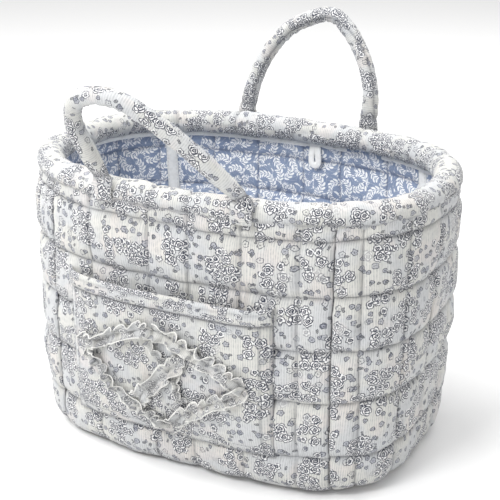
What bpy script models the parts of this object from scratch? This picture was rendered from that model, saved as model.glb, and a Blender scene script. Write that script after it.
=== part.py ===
"""Quilted knitting bag: an oval-cornered padded tote with a rolled rim, two tube handles, a patch pocket with a
ruffle bow, taped inner seams and a ribbon loop. Metres, +Z up, front towards -Y, origin under the base's centre."""

import math

import bpy
import numpy as np

# ---- driving dimensions (metres) ----
SEAM_HEIGHT = 0.220  # floor to the outer seam under the roll
MOUTH_HALF_LENGTH = 0.172
MOUTH_HALF_WIDTH = 0.1185
MOUTH_POWER = 2.5  # superellipse power of the plan at the mouth: 2 is an ellipse, more is squarer
END_FLARE = 0.012  # how much further out the ends are at the mouth than at the foot
FRONT_FLARE = 0.0065  # the same for the front and the back
FOOT_HALF_LENGTH = MOUTH_HALF_LENGTH - END_FLARE  # at the top of the rounded bottom edge
FOOT_HALF_WIDTH = MOUTH_HALF_WIDTH - FRONT_FLARE
FOOT_POWER = 3.4
BOTTOM_EDGE_RADIUS = 0.017
WALL_BULGE = 0.002
PANEL_SEAM_X = 0.120  # the front and back panels run between these seams
PANEL_SEAM_SHARE = 0.86  # the seams are never further out than this share of the half length

SHELL_THICKNESS = 0.0008
WADDING_THICKNESS = 0.006
LINING_THICKNESS = 0.0008
GAP = 0.0003  # between neighbouring solids
CORD_GAP = 0.0009  # round a cord inside its curved cover
TAPE_GAP = 0.0012  # between a tape and the curved lining it lies on
WALL_THICKNESS = SHELL_THICKNESS + WADDING_THICKNESS + LINING_THICKNESS + 2 * GAP

ROLL_HALF_WIDTH = 0.0112
ROLL_HALF_HEIGHT = 0.0104
ROLL_PAST_LINING = 0.0018
ROLL_INSET = WALL_THICKNESS + ROLL_PAST_LINING  # outer wall face to the roll's centre
ROLL_RISE = 0.004  # outer seam to the roll's centre
ROLL_COVER_THICKNESS = 0.0008
ROLL_OUTER_LIP, ROLL_INNER_LIP = 200, -92  # degrees round the oval where the cover's two edges end

TAPE_WIDTH = 0.009
TAPE_THICKNESS = 0.0006
RIM_TAPE_HEIGHT = 0.0028

HANDLE_FOOT_X = 0.058
HANDLE_RADIUS = 0.0073
HANDLE_COVER_THICKNESS = 0.0008
HANDLE_PIVOT_OUT = 0.003  # outer wall face to the swing axis
HANDLE_PIVOT_RISE = 0.0138  # roll's centre to the swing axis
HANDLE_NECK_LENGTH = 0.020  # flattened end, where the sewn-down tube becomes round
HANDLE_NECK_HALF_THICKNESS = 0.003
HANDLE_NECK_HALF_WIDTH = 0.0090
FRONT_HANDLE_RISE = 0.080
FRONT_HANDLE_LEAN = math.radians(27)
BACK_HANDLE_RISE = 0.086
BACK_HANDLE_LEAN = math.radians(15)
SEWN_END_WIDTH = 0.020
SEWN_END_THICKNESS = 0.0055

POCKET_WIDTH = 0.177
POCKET_HEIGHT = 0.122
POCKET_CENTRE_X = -0.0065
POCKET_BOTTOM = 0.034
POCKET_THICKNESS = 0.0014
POCKET_STANDOFF = 0.0085  # how far the pocket's face stands off the wall
HEM_HEIGHT = 0.0105
HEM_THICKNESS = 0.0008

BOW_WIDTH = 0.140
BOW_HEIGHT = 0.086
BOW_CENTRE = (-0.006, 0.089)
RUFFLE_WIDTH = 0.013
RUFFLE_THICKNESS = 0.0025
TIE_WIDTH = 0.005

LOOP_X = 0.014
LOOP_WIDTH = 0.0125
LOOP_LENGTH = 0.020
LOOP_THICKNESS = 0.0018

END_FACETS = 2 * math.ceil(MOUTH_HALF_LENGTH / 0.0345)  # round each end of a wall layer
MOUTH_STATIONS = 4 * math.ceil(MOUTH_HALF_LENGTH / 0.0173)  # round the mouth

# Handle centre lines, left to right: share of the foot spacing, share of the rise
FRONT_HANDLE_LINE = [
    (-1.0, 0.0), (-1.07, 0.33), (-1.09, 0.66), (-0.90, 0.92), (-0.47, 1.0),
    (-0.06, 0.88), (0.44, 0.54), (0.77, 0.24), (1.0, 0.0),
]
BACK_HANDLE_LINE = [
    (-1.0, 0.0), (-0.85, 0.44), (-0.46, 0.82), (0.14, 1.0), (0.49, 0.88), (0.80, 0.60), (0.97, 0.29), (1.0, 0.0),
]
# Corners of the bow: share of its half width, share of its half height
BOW_LEFT, BOW_TOP, BOW_RIGHT, BOW_BOTTOM = (-1.0, 0.34), (-0.06, 1.0), (1.0, 0.14), (0.06, -1.0)

COTTON = (0.80, 0.80, 0.78)
BLUE = (0.30, 0.38, 0.52)
WHITE = (0.88, 0.88, 0.86)
FILLING = (0.90, 0.89, 0.86)


def clear_scene():
    for item in list(bpy.data.objects):
        bpy.data.objects.remove(item, do_unlink=True)


def cloth(name, colour, roughness=0.9):
    material = bpy.data.materials.new(name)
    material.use_nodes = True
    shader = material.node_tree.nodes["Principled BSDF"]
    shader.inputs["Base Color"].default_value = (*colour, 1.0)
    shader.inputs["Roughness"].default_value = roughness
    shader.inputs["Metallic"].default_value = 0.0
    return material


# ---- meshes from grids of points ----
def add_mesh(name, points, faces, colour, pivot=(0.0, 0.0, 0.0)):
    """One object from points in world space, its origin on the pivot and its faces turned outwards."""
    mesh = bpy.data.meshes.new(name)
    points = np.asarray(points)
    mesh.from_pydata((points - np.asarray(pivot)).tolist(), [], faces)
    corners = np.array([points[[face[0], face[k], face[k + 1]]] for face in faces for k in range(1, len(face) - 1)])
    if np.einsum("ij,ij->i", corners[:, 0], np.cross(corners[:, 1], corners[:, 2])).sum() < 0:
        mesh.flip_normals()
    mesh.shade_smooth()
    mesh.set_sharp_from_angle(angle=math.radians(35))
    item = bpy.data.objects.new(name, mesh)
    item.location = pivot
    item.data.materials.append(cloth(name, colour))
    bpy.context.scene.collection.objects.link(item)
    return item


def swept(name, sections, colour, closed, pivot=(0.0, 0.0, 0.0)):
    """Closed sections, sections[station, corner], joined in order. Open runs get an end face made of strips.

    The two halves of a section are split along mirrored diagonals, so the layers of a sheet stay parallel."""
    stations, corners = sections.shape[:2]
    faces = []
    for i in range(stations if closed else stations - 1):
        j = (i + 1) % stations
        for k in range(corners):
            m = (k + 1) % corners
            a, b, c, d = i * corners + k, i * corners + m, j * corners + m, j * corners + k
            faces += [(a, b, c), (a, c, d)] if k < corners // 2 else [(a, b, d), (b, c, d)]
    if not closed:
        for first, backwards in ((0, False), ((stations - 1) * corners, True)):
            for k in range(corners // 2 - 1):
                strip = [first + k, first + corners - 1 - k, first + corners - 2 - k, first + k + 1]
                faces.append(tuple(reversed(strip)) if backwards else tuple(strip))
    return add_mesh(name, sections.reshape(-1, 3), faces, colour, pivot)


def slab(name, outer, inner, colour, pivot=(0.0, 0.0, 0.0)):
    """A sheet with thickness between two grids of points, grid[column, row]."""
    return swept(name, np.concatenate([outer, inner[:, ::-1]], axis=1), colour, False, pivot)


def smooth_line(points, count):
    """Points evenly spaced along a Catmull-Rom curve through the given ones."""
    p = np.asarray(points, float)
    p = np.vstack([2 * p[0] - p[1], p, 2 * p[-1] - p[-2]])
    t = np.linspace(0, 1, 24, endpoint=False)[:, None]
    runs = []
    for a, b, c, d in zip(p[:-3], p[1:-2], p[2:-1], p[3:]):
        cubic = (3 * b - 3 * c + d - a) * t**3
        runs.append(0.5 * (2 * b + (c - a) * t + (2 * a - 5 * b + 4 * c - d) * t**2 + cubic))
    line = np.vstack([*runs, p[-2:-1]])
    along = np.concatenate([[0], np.cumsum(np.linalg.norm(np.diff(line, axis=0), axis=1))])
    even = np.linspace(0, along[-1], count)
    return np.stack([np.interp(even, along, line[:, k]) for k in range(line.shape[1])], axis=1)


# ---- the bag's surface ----
def wall_plan(height):
    """Half length, half width and power of the outer face's plan at a height above the rounded bottom edge."""
    share = (height - BOTTOM_EDGE_RADIUS) / (SEAM_HEIGHT - BOTTOM_EDGE_RADIUS)
    bulge = WALL_BULGE * math.sin(math.pi * min(max(share, 0.0), 1.0))
    half_length = FOOT_HALF_LENGTH + (MOUTH_HALF_LENGTH - FOOT_HALF_LENGTH) * share + bulge
    half_width = FOOT_HALF_WIDTH + (MOUTH_HALF_WIDTH - FOOT_HALF_WIDTH) * share + bulge
    return half_length, half_width, FOOT_POWER + (MOUTH_POWER - FOOT_POWER) * share


def wall_rows(depth, top):
    """(half length, half width, power, height) from the floor's edge up the wall, this deep inside the shell."""
    rows = []
    radius = BOTTOM_EDGE_RADIUS - depth
    for angle in np.radians([0, 45]):
        drawn_in = BOTTOM_EDGE_RADIUS - radius * math.sin(angle)
        rows.append((FOOT_HALF_LENGTH - drawn_in, FOOT_HALF_WIDTH - drawn_in, FOOT_POWER,
                     BOTTOM_EDGE_RADIUS - radius * math.cos(angle)))
    for height in np.linspace(BOTTOM_EDGE_RADIUS, top, 5):
        half_length, half_width, power = wall_plan(height)
        rows.append((half_length - depth, half_width - depth, power, height))
    return rows


def across(x, half_length, half_width, power):
    """Half width of the plan at x."""
    return half_width * (1 - np.minimum(np.abs(x) / half_length, 1.0) ** power) ** (1 / power)


def around(angle, half_length, half_width, power):
    """Point of the plan in the direction of an angle from +X."""
    reach = (np.abs(np.cos(angle)) / half_length) ** power + (np.abs(np.sin(angle)) / half_width) ** power
    reach = reach ** (-1 / power)
    return np.stack([reach * np.cos(angle), reach * np.sin(angle)], axis=-1)


def side_columns(side, half_length, half_width, power):
    """Columns along the front (-1) or back (+1) of a plan, between the seams."""
    x = np.linspace(-1, 1, 9) * (seam_x(half_length) - GAP)
    return np.stack([x, side * across(x, half_length, half_width, power)], axis=1)


def end_columns(side, half_length, half_width, power):
    """Columns round the left (-1) or right (+1) end of a plan, from seam to seam."""
    x = seam_x(half_length) + GAP
    seam = math.atan2(across(x, half_length, half_width, power), x)
    return around(seam * np.linspace(-1, 1, END_FACETS + 1), half_length, half_width, power) * (side, 1)


def seam_x(half_length):
    """The panel seams, drawn in where the rounded bottom edge is shorter than they are."""
    return min(PANEL_SEAM_X, PANEL_SEAM_SHARE * half_length)


def wall_grid(columns, side, depth):
    """A panel's points at a depth inside the shell: columns along the wall, rows up it."""
    rows = wall_rows(depth, WALL_TOP)
    grid = [np.insert(columns(side, *plan), 2, height, axis=1) for *plan, height in rows]
    return np.stack(grid, axis=1)


LAYERS = {
    "outer": (0.0, SHELL_THICKNESS, COTTON),
    "wadding": (SHELL_THICKNESS + GAP, SHELL_THICKNESS + GAP + WADDING_THICKNESS, FILLING),
    "lining": (WALL_THICKNESS - LINING_THICKNESS, WALL_THICKNESS, BLUE),
}
WALL_TOP = SEAM_HEIGHT - 2 * GAP


def make_walls():
    for layer, (near, far, colour) in LAYERS.items():
        for name, columns, side in (("front", side_columns, -1), ("back", side_columns, 1),
                                    ("left", end_columns, -1), ("right", end_columns, 1)):
            slab(f"{name}_{layer}", wall_grid(columns, side, near), wall_grid(columns, side, far), colour)


def make_base():
    """Three flat layers that meet the walls' lower edges, column by column."""
    inset = BOTTOM_EDGE_RADIUS + 2 * GAP
    plan = FOOT_HALF_LENGTH - inset, FOOT_HALF_WIDTH - inset, FOOT_POWER
    outline = np.vstack([side_columns(-1, *plan), end_columns(1, *plan),
                         side_columns(1, *plan)[::-1], end_columns(-1, *plan)[::-1]])
    count = len(outline)
    for layer, (near, far, colour) in LAYERS.items():
        points = [(x, y, z) for z in (near, far) for x, y in outline]
        faces = [tuple(range(count)), tuple(range(2 * count - 1, count - 1, -1))]
        faces += [(k, k + count, (k + 1) % count + count, (k + 1) % count) for k in range(count)]
        add_mesh(f"base_{layer}", points, faces, colour)


def mouth_frame(count):
    """Stations round the outer wall at the seam under the roll, with their inward directions."""
    angles = np.linspace(0, 2 * math.pi, 721)
    line = around(angles, MOUTH_HALF_LENGTH, MOUTH_HALF_WIDTH, MOUTH_POWER)
    along = np.concatenate([[0], np.cumsum(np.linalg.norm(np.diff(line, axis=0), axis=1))])
    even = np.linspace(0, along[-1], count, endpoint=False)
    place = np.stack([np.interp(even, along, line[:, k]) for k in range(2)], axis=1)
    tangent = np.roll(place, -1, axis=0) - np.roll(place, 1, axis=0)
    inward = np.stack([-tangent[:, 1], tangent[:, 0]], axis=1)
    return place, inward / np.linalg.norm(inward, axis=1, keepdims=True)


def round_mouth(section):
    """A section of (distance inwards, height above the seam) carried round the mouth."""
    place, inward = mouth_frame(MOUTH_STATIONS)
    section = np.asarray(section)
    points = np.zeros((MOUTH_STATIONS, len(section), 3))
    points[:, :, :2] = place[:, None] + inward[:, None] * section[None, :, :1]
    points[:, :, 2] = SEAM_HEIGHT + section[None, :, 1]
    return points


def roll_arc(grow, start, end, count):
    """Part of the roll's oval, as (distance inwards, height above the seam). 180 degrees is its outer side."""
    angles = np.radians(np.linspace(start, end, count))
    return np.stack([ROLL_INSET + (ROLL_HALF_WIDTH + grow) * np.cos(angles),
                     ROLL_RISE + (ROLL_HALF_HEIGHT + grow) * np.sin(angles)], axis=1)


def make_roll():
    """The cover is open underneath, where the walls' raw edges enter it."""
    inner = -ROLL_COVER_THICKNESS
    cover = np.vstack([roll_arc(0, ROLL_OUTER_LIP, ROLL_INNER_LIP, 10),
                       roll_arc(inner, ROLL_INNER_LIP, ROLL_OUTER_LIP - 3, 10)])
    swept("rim_roll_cover", round_mouth(cover), COTTON, True)
    arc = roll_arc(inner - CORD_GAP, ROLL_OUTER_LIP - 6, ROLL_INNER_LIP + 4, 8)
    corner_x = max(WALL_THICKNESS + GAP, arc[-1, 0] - 0.0006)
    core = np.vstack([arc, [(corner_x, GAP)]])
    swept("rim_roll_cord", round_mouth(core), FILLING, True)
    low = ROLL_RISE - ROLL_HALF_HEIGHT - 2 * GAP
    near = WALL_THICKNESS + TAPE_GAP
    band = [(near, low), (near + TAPE_THICKNESS, low),
            (near + TAPE_THICKNESS, low - RIM_TAPE_HEIGHT), (near, low - RIM_TAPE_HEIGHT)]
    swept("rim_tape", round_mouth(band), WHITE, True)


RIM_TAPE_BOTTOM = SEAM_HEIGHT + ROLL_RISE - ROLL_HALF_HEIGHT - 2 * GAP - RIM_TAPE_HEIGHT


def make_inner_bindings():
    """Tape over the four inner vertical seams and over the seam round the base."""
    near, far = WALL_THICKNESS + TAPE_GAP, WALL_THICKNESS + TAPE_GAP + TAPE_THICKNESS
    heights = np.linspace(BOTTOM_EDGE_RADIUS + TAPE_WIDTH / 2, RIM_TAPE_BOTTOM - GAP, 6)
    for name, x_side, y_side in (("front_left", -1, -1), ("front_right", 1, -1),
                                 ("back_left", -1, 1), ("back_right", 1, 1)):
        grids = []
        for depth in (near, far):
            grid = np.zeros((5, len(heights), 3))
            for k, height in enumerate(heights):
                half_length, half_width, power = wall_plan(height)
                plan = half_length - depth, half_width - depth, power
                seam = math.atan2(across(PANEL_SEAM_X, *plan), PANEL_SEAM_X)
                spread = TAPE_WIDTH / 2 / math.hypot(PANEL_SEAM_X, across(PANEL_SEAM_X, *plan))
                place = around(seam + spread * np.linspace(-1, 1, 5), *plan)
                grid[:, k, 0] = x_side * place[:, 0]
                grid[:, k, 1] = y_side * place[:, 1]
                grid[:, k, 2] = height
            grids.append(grid)
        slab(f"{name}_inner_binding", grids[0], grids[1], WHITE)
    angles = np.linspace(0, 2 * math.pi, 40, endpoint=False)
    rings = []
    for depth, order in ((near, (-1, 0, 1)), (far, (1, 0, -1))):
        radius = BOTTOM_EDGE_RADIUS - depth
        for step in order:
            out = step * TAPE_WIDTH / 2
            inset = BOTTOM_EDGE_RADIUS - out
            height = BOTTOM_EDGE_RADIUS - math.sqrt(radius**2 - max(out, 0.0) ** 2)
            plan = around(angles, FOOT_HALF_LENGTH - inset, FOOT_HALF_WIDTH - inset, FOOT_POWER)
            rings.append(np.column_stack([plan, np.full(len(plan), height)]))
    swept("base_inner_binding", np.stack(rings, axis=1), WHITE, True)


# ---- handles ----
def handle_pivot(side):
    """A point on the swing axis, above the outer wall face at the handle's sewn ends."""
    y = across(HANDLE_FOOT_X, MOUTH_HALF_LENGTH, MOUTH_HALF_WIDTH, MOUTH_POWER) + HANDLE_PIVOT_OUT
    return np.array([0.0, side * y, SEAM_HEIGHT + ROLL_RISE + HANDLE_PIVOT_RISE])


def handle_sections(line, rise, lean, side, shrink, stations=28, corners=8):
    """Oval sections along the handle: flat and wide at the sewn ends, round beyond the necks."""
    flat = smooth_line(np.array(line) * (HANDLE_FOOT_X, rise), stations)
    along = np.concatenate([[0], np.cumsum(np.linalg.norm(np.diff(flat, axis=0), axis=1))])
    to_end = np.minimum(along, along[-1] - along)
    share = np.clip(to_end / HANDLE_NECK_LENGTH, 0, 1)
    share = share * share * (3 - 2 * share)
    half_thickness = HANDLE_NECK_HALF_THICKNESS + (HANDLE_RADIUS - HANDLE_NECK_HALF_THICKNESS) * share
    half_width = HANDLE_NECK_HALF_WIDTH + (HANDLE_RADIUS - HANDLE_NECK_HALF_WIDTH) * share
    tangent = np.gradient(flat, axis=0)
    tangent /= np.linalg.norm(tangent, axis=1, keepdims=True)
    normal = np.stack([tangent[:, 1], -tangent[:, 0]], axis=1)
    level = np.clip(to_end / HANDLE_NECK_LENGTH, 0, 1)[:, None]
    sideways = np.sign(normal[:, :1]) * np.array([[1.0, 0.0]])
    normal = normal * level + sideways * (1 - level)  # the ends are cut level
    normal /= np.linalg.norm(normal, axis=1, keepdims=True)
    up = np.array([0.0, side * math.sin(lean), math.cos(lean)])
    out = np.array([0.0, side * math.cos(lean), -math.sin(lean)])
    along_x = np.array([1.0, 0.0, 0.0])
    turn = np.linspace(0, 2 * math.pi, corners, endpoint=False) + math.pi / corners
    centre = handle_pivot(side) + flat[:, :1] * along_x + flat[:, 1:] * up
    wide = normal[:, :1] * along_x + normal[:, 1:] * up
    points = centre[:, None] + wide[:, None] * ((half_width - shrink)[:, None] * np.cos(turn))[..., None]
    return points + out * ((half_thickness - shrink)[:, None] * np.sin(turn))[..., None]


def make_handle(name, line, rise, lean, side):
    pivot = tuple(handle_pivot(side))
    outer = handle_sections(line, rise, lean, side, 0.0)
    inner = handle_sections(line, rise, lean, side, HANDLE_COVER_THICKNESS)
    swept(f"{name}_handle_cover", np.vstack([outer[::-1], inner]), COTTON, True, pivot)
    core = handle_sections(line, rise, lean, side, HANDLE_COVER_THICKNESS + CORD_GAP)
    swept(f"{name}_handle_cord", core, FILLING, False, pivot)


def make_sewn_end(name, x, side):
    """The flattened end of a handle, stitched over the outer side of the roll and into the seam under it."""
    y = across(x, MOUTH_HALF_LENGTH, MOUTH_HALF_WIDTH, MOUTH_POWER)
    step = 0.001
    rise = across(abs(x) + step, MOUTH_HALF_LENGTH, MOUTH_HALF_WIDTH, MOUTH_POWER) - y
    tangent = np.array([step, rise * math.copysign(1, x)])
    tangent /= np.linalg.norm(tangent)
    outward = np.array([-tangent[1], tangent[0]])
    curve = (SEWN_END_WIDTH / 2) ** 2 / 2 / MOUTH_HALF_LENGTH  # how far the roll falls away under half the width
    near = roll_arc(GAP + curve, 196, 164, 5)
    far = roll_arc(GAP + curve + SEWN_END_THICKNESS, 196, 164, 5)
    grids = []
    for arc in (far, near):
        grid = np.zeros((4, len(arc), 3))
        for i, across_width in enumerate(np.linspace(-0.5, 0.5, 4) * SEWN_END_WIDTH):
            grid[i, :, 0] = x + tangent[0] * across_width - outward[0] * arc[:, 0]
            grid[i, :, 1] = side * (y + tangent[1] * across_width - outward[1] * arc[:, 0])
            grid[i, :, 2] = SEAM_HEIGHT + arc[:, 1]
        grids.append(grid)
    slab(name, grids[0], grids[1], COTTON)


def make_handles():
    make_handle("front", FRONT_HANDLE_LINE, FRONT_HANDLE_RISE, FRONT_HANDLE_LEAN, -1)
    make_handle("back", BACK_HANDLE_LINE, BACK_HANDLE_RISE, BACK_HANDLE_LEAN, 1)
    for place, side in (("front", -1), ("back", 1)):
        for hand, x in (("left", -HANDLE_FOOT_X), ("right", HANDLE_FOOT_X)):
            make_sewn_end(f"{place}_handle_{hand}_sewn_end", x, side)


# ---- pocket and its bow ----
def front_point(x, z, out):
    """Point in front of the front wall, this far outside its outer face."""
    y = np.zeros(np.broadcast(x, z).shape)
    for index in np.ndindex(y.shape):
        half_length, half_width, power = wall_plan(float(z[index]))
        y[index] = across(x[index], half_length + out[index], half_width + out[index], power)
    return np.stack([x, -y, z], axis=-1)


def pocket_standoff(x, z):
    """Height of the pocket's back over the wall: it rises from the sewn edges, and is open along the top."""
    u = np.clip(np.abs(x - POCKET_CENTRE_X) / (POCKET_WIDTH / 2), 0, 1)
    v = np.clip((z - POCKET_BOTTOM) / POCKET_HEIGHT, 0, 1)
    return GAP + POCKET_STANDOFF * (1 - u**12) * (1 - (1 - v) ** 9)


def make_pocket():
    columns = np.array([-1, -0.97, -0.9, -0.6, -0.3, 0, 0.3, 0.6, 0.9, 0.97, 1]) * POCKET_WIDTH / 2
    rows = np.array([0, 0.04, 0.12, 0.4, 0.7, 1]) * POCKET_HEIGHT
    x, z = np.meshgrid(POCKET_CENTRE_X + columns, POCKET_BOTTOM + rows, indexing="ij")
    back = pocket_standoff(x, z)
    slab("pocket_panel", front_point(x, z, back + POCKET_THICKNESS), front_point(x, z, back), COTTON)
    rows = np.array([POCKET_HEIGHT - HEM_HEIGHT, POCKET_HEIGHT])
    x, z = np.meshgrid(POCKET_CENTRE_X + columns[1:-1], POCKET_BOTTOM + rows, indexing="ij")
    back = pocket_standoff(x, z) + POCKET_THICKNESS + GAP
    slab("pocket_hem", front_point(x, z, back + HEM_THICKNESS), front_point(x, z, back), COTTON)


def bow_point(share):
    return np.array([BOW_CENTRE[0] + share[0] * BOW_WIDTH / 2, BOW_CENTRE[1] + share[1] * BOW_HEIGHT / 2])


def make_ruffle(name, start, end, width):
    """A gathered strip laid straight on the pocket's face between two places (x, z)."""
    along = (end - start) / np.linalg.norm(end - start)
    line = np.linspace(0, 1, 6)[:, None] * (end - start) + start
    sideways = np.array([along[1], -along[0]]) * width / 2
    place = line[:, None] + sideways * np.array([-1, 0, 1])[None, :, None]
    x, z = place[..., 0], place[..., 1]
    back = pocket_standoff(x, z) + POCKET_THICKNESS + 2 * GAP
    slab(name, front_point(x, z, back + RUFFLE_THICKNESS), front_point(x, z, back), COTTON)


def corner_cut(corner, one, other):
    """How far two strips of ruffle stop short of the corner where they meet, so that their ends just clear."""
    to_one, to_other = one - corner, other - corner
    cosine = to_one @ to_other / np.linalg.norm(to_one) / np.linalg.norm(to_other)
    return RUFFLE_WIDTH / 2 / math.tan(math.acos(cosine) / 2) + 2 * GAP


def make_bow():
    corners = [bow_point(share) for share in (BOW_LEFT, BOW_TOP, BOW_RIGHT, BOW_BOTTOM)]
    names = ("upper_left", "upper_right", "lower_right", "lower_left")
    for k, name in enumerate(names):
        before, start, end, after = (corners[(k + step) % 4] for step in (-1, 0, 1, 2))
        along = (end - start) / np.linalg.norm(end - start)
        first = start + along * corner_cut(start, before, end)
        last = end - along * corner_cut(end, start, after)
        make_ruffle(f"bow_ruffle_{name}", first, last, RUFFLE_WIDTH)
    make_ruffle("bow_ruffle_cross", bow_point((0.28, 0.40)), bow_point((-0.20, -0.43)), RUFFLE_WIDTH)
    make_ruffle("bow_tie_upper", bow_point((-0.16, 0.66)), bow_point((-0.03, 0.28)), TIE_WIDTH)
    make_ruffle("bow_tie_lower", bow_point((0.28, -0.01)), bow_point((0.31, -0.40)), TIE_WIDTH)


# ---- ribbon loop ----
def make_ribbon_loop():
    """A folded ribbon hanging from the roll's inner seam on the back wall. Its origin is on its swing axis."""
    depth = WALL_THICKNESS + TAPE_GAP + TAPE_THICKNESS + GAP + LOOP_THICKNESS / 2
    y = across(LOOP_X, MOUTH_HALF_LENGTH, MOUTH_HALF_WIDTH, MOUTH_POWER) - depth
    top = SEAM_HEIGHT + ROLL_RISE - ROLL_HALF_HEIGHT - LOOP_THICKNESS
    pivot = (LOOP_X, y, top)
    x, z = np.meshgrid(LOOP_X + np.array([-0.5, 0.5]) * LOOP_WIDTH, top - np.array([0.0, 0.5, 1.0]) * LOOP_LENGTH,
                       indexing="ij")
    half = np.full(x.shape, LOOP_THICKNESS / 2)
    slab("ribbon_loop", np.stack([x, y - half, z], axis=-1), np.stack([x, y + half, z], axis=-1), WHITE, pivot)


def main():
    clear_scene()
    make_walls()
    make_base()
    make_roll()
    make_inner_bindings()
    make_handles()
    make_pocket()
    make_bow()
    make_ribbon_loop()


main()
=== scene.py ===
# %% [markdown]
# # A quilted knitting bag
# The bag is a soft oval tote: floral quilted cotton outside, a blue sprigged lining, a padded roll round
# the mouth, two stuffed tube handles, a patch pocket with a ruffle bow, white tape over the inner seams and
# a ribbon loop. It could be drawn as one skin, but a sewn bag is cut from panels, so every panel, tube and
# tape is its own piece. The packed model gives the frame: where things are, how they move, and how big the
# whole is.

import math

import bpy
import numpy as np
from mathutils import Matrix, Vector


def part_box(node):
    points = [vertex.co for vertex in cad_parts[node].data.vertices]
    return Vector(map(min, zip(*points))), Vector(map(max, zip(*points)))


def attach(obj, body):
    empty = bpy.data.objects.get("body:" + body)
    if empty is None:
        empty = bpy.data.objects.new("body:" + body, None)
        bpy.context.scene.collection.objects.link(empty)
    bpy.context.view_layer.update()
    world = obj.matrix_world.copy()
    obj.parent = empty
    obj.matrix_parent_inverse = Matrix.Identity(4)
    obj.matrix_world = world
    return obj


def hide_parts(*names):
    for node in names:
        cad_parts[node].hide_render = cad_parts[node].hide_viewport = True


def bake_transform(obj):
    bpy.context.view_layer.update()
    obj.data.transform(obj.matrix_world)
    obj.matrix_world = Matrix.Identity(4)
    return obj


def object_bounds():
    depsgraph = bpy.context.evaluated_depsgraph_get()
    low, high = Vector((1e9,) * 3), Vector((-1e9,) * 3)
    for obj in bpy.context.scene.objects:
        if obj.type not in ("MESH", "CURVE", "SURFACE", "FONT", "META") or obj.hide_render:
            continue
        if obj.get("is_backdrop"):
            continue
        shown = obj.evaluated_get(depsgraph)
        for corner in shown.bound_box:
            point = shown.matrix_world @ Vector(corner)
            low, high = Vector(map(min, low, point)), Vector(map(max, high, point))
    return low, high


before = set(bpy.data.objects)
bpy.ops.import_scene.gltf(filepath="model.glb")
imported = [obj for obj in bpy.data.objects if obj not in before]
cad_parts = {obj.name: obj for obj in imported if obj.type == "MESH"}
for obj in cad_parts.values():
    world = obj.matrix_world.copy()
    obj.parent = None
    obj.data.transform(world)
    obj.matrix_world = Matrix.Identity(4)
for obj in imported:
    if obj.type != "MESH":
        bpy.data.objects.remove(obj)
cad_low, cad_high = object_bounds()
print("size in mm:", [round(1000 * (b - a), 1) for a, b in zip(cad_low, cad_high)])

# %% [markdown]
# ## Sizes
# All of them are metres. The plan of the bag is a superellipse, |x/a|^n + |y/b|^n = 1, squarer at the foot
# than at the mouth. The numbers are those of the packed model, restated here so that the lesson stands by
# itself.

# %% Sizes of the walls, roll, handles and pocket
SEAM = 0.220  # floor to the seam under the roll
EDGE = 0.017  # radius of the bottom edge
MOUTH = np.array([0.172, 0.1185, 2.5])  # half length, half width, power
FOOT = np.array([0.160, 0.112, 3.4])
BULGE = 0.002
SEAM_X = 0.120  # panel seams
WALL = 0.0082  # outer face to lining face
ROLL_HALF = (0.0112, 0.0104)
ROLL_IN, ROLL_UP = 0.010, 0.004
FOOT_X = 0.058  # handle feet
PIVOT_OUT, PIVOT_UP = 0.003, 0.0138
POCKET = {"width": 0.177, "height": 0.122, "x": -0.0065, "bottom": 0.034, "standoff": 0.0085}
FACE = EDGE * math.pi / 2 + SEAM - EDGE  # length of the wall's face, floor edge to seam
print("wall face", round(FACE, 4), "m from the floor's edge to the seam")

# %% [markdown]
# ## Camera and light
# A soft white object needs large lamps: a big one high on the left front for the form, a weaker one on the
# right, and a pale sky that fills the folds. A third from the front reaches down into the bag and lights
# its lining.

# %% Camera
camera = bpy.data.objects.new("camera", bpy.data.cameras.new("camera"))
bpy.context.scene.collection.objects.link(camera)
azimuth, elevation, distance = math.radians(27.107), math.radians(21.099), 0.9954
aim = Vector((0.0044, 0.0, 0.1497))
back = Vector(
    (math.sin(azimuth) * math.cos(elevation), -math.cos(azimuth) * math.cos(elevation), math.sin(elevation))
)
camera.location = aim + back * distance
camera.rotation_mode = "QUATERNION"
camera.rotation_quaternion = (-back).to_track_quat("-Z", "Y")
camera.data.sensor_width, camera.data.lens = 36.0, 87.13
bpy.context.scene.camera = camera
print("camera is", distance, "m from its aim, looking down", round(math.degrees(elevation), 1), "degrees")


# %% Lamps and sky
def lamp(name, place, target, size, power, colour):
    """A square area lamp at a place, turned towards a target."""
    data = bpy.data.lights.new(name, "AREA")
    data.shape, data.size, data.energy, data.color = "SQUARE", size, power, colour
    item = bpy.data.objects.new(name, data)
    item.location = place
    item.rotation_mode = "QUATERNION"
    item.rotation_quaternion = (Vector(target) - Vector(place)).to_track_quat("-Z", "Y")
    bpy.context.scene.collection.objects.link(item)


WHITE = (1.0, 1.0, 1.0)
lamp("window", (-0.7, -0.2, 1.7), (0, 0, 0.15), 1.3, 31, (1.0, 0.995, 0.985))
lamp("fill", (1.5, -1.0, 0.7), (0, 0, 0.12), 1.2, 2, WHITE)
lamp("overhead", (-0.25, -1.05, 1.30), (0, 0.08, 0.18), 0.45, 13, WHITE)
lamp("behind", (0.4, 1.2, 1.3), (0, 0, 0.15), 1.0, 9, WHITE)
sky = bpy.data.worlds.new("sky")
sky.use_nodes = True
sky_light = sky.node_tree.nodes["Background"].inputs
sky_light["Color"].default_value, sky_light["Strength"].default_value = (*WHITE, 1.0), 0.72
bpy.context.scene.world = sky
bpy.context.scene.view_settings.view_transform = "Standard"
print("lamps:", sorted(light.name for light in bpy.data.lights))

# %% [markdown]
# ## Shader sums written as Python
# A pattern is arithmetic on a coordinate. Wiring Math nodes by hand hides that, so one small class wraps a
# socket and gives it Python's operators: `1 - mask` adds a Subtract node. Colours and vectors have their
# own nodes, because a Math node would turn them grey.


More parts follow.
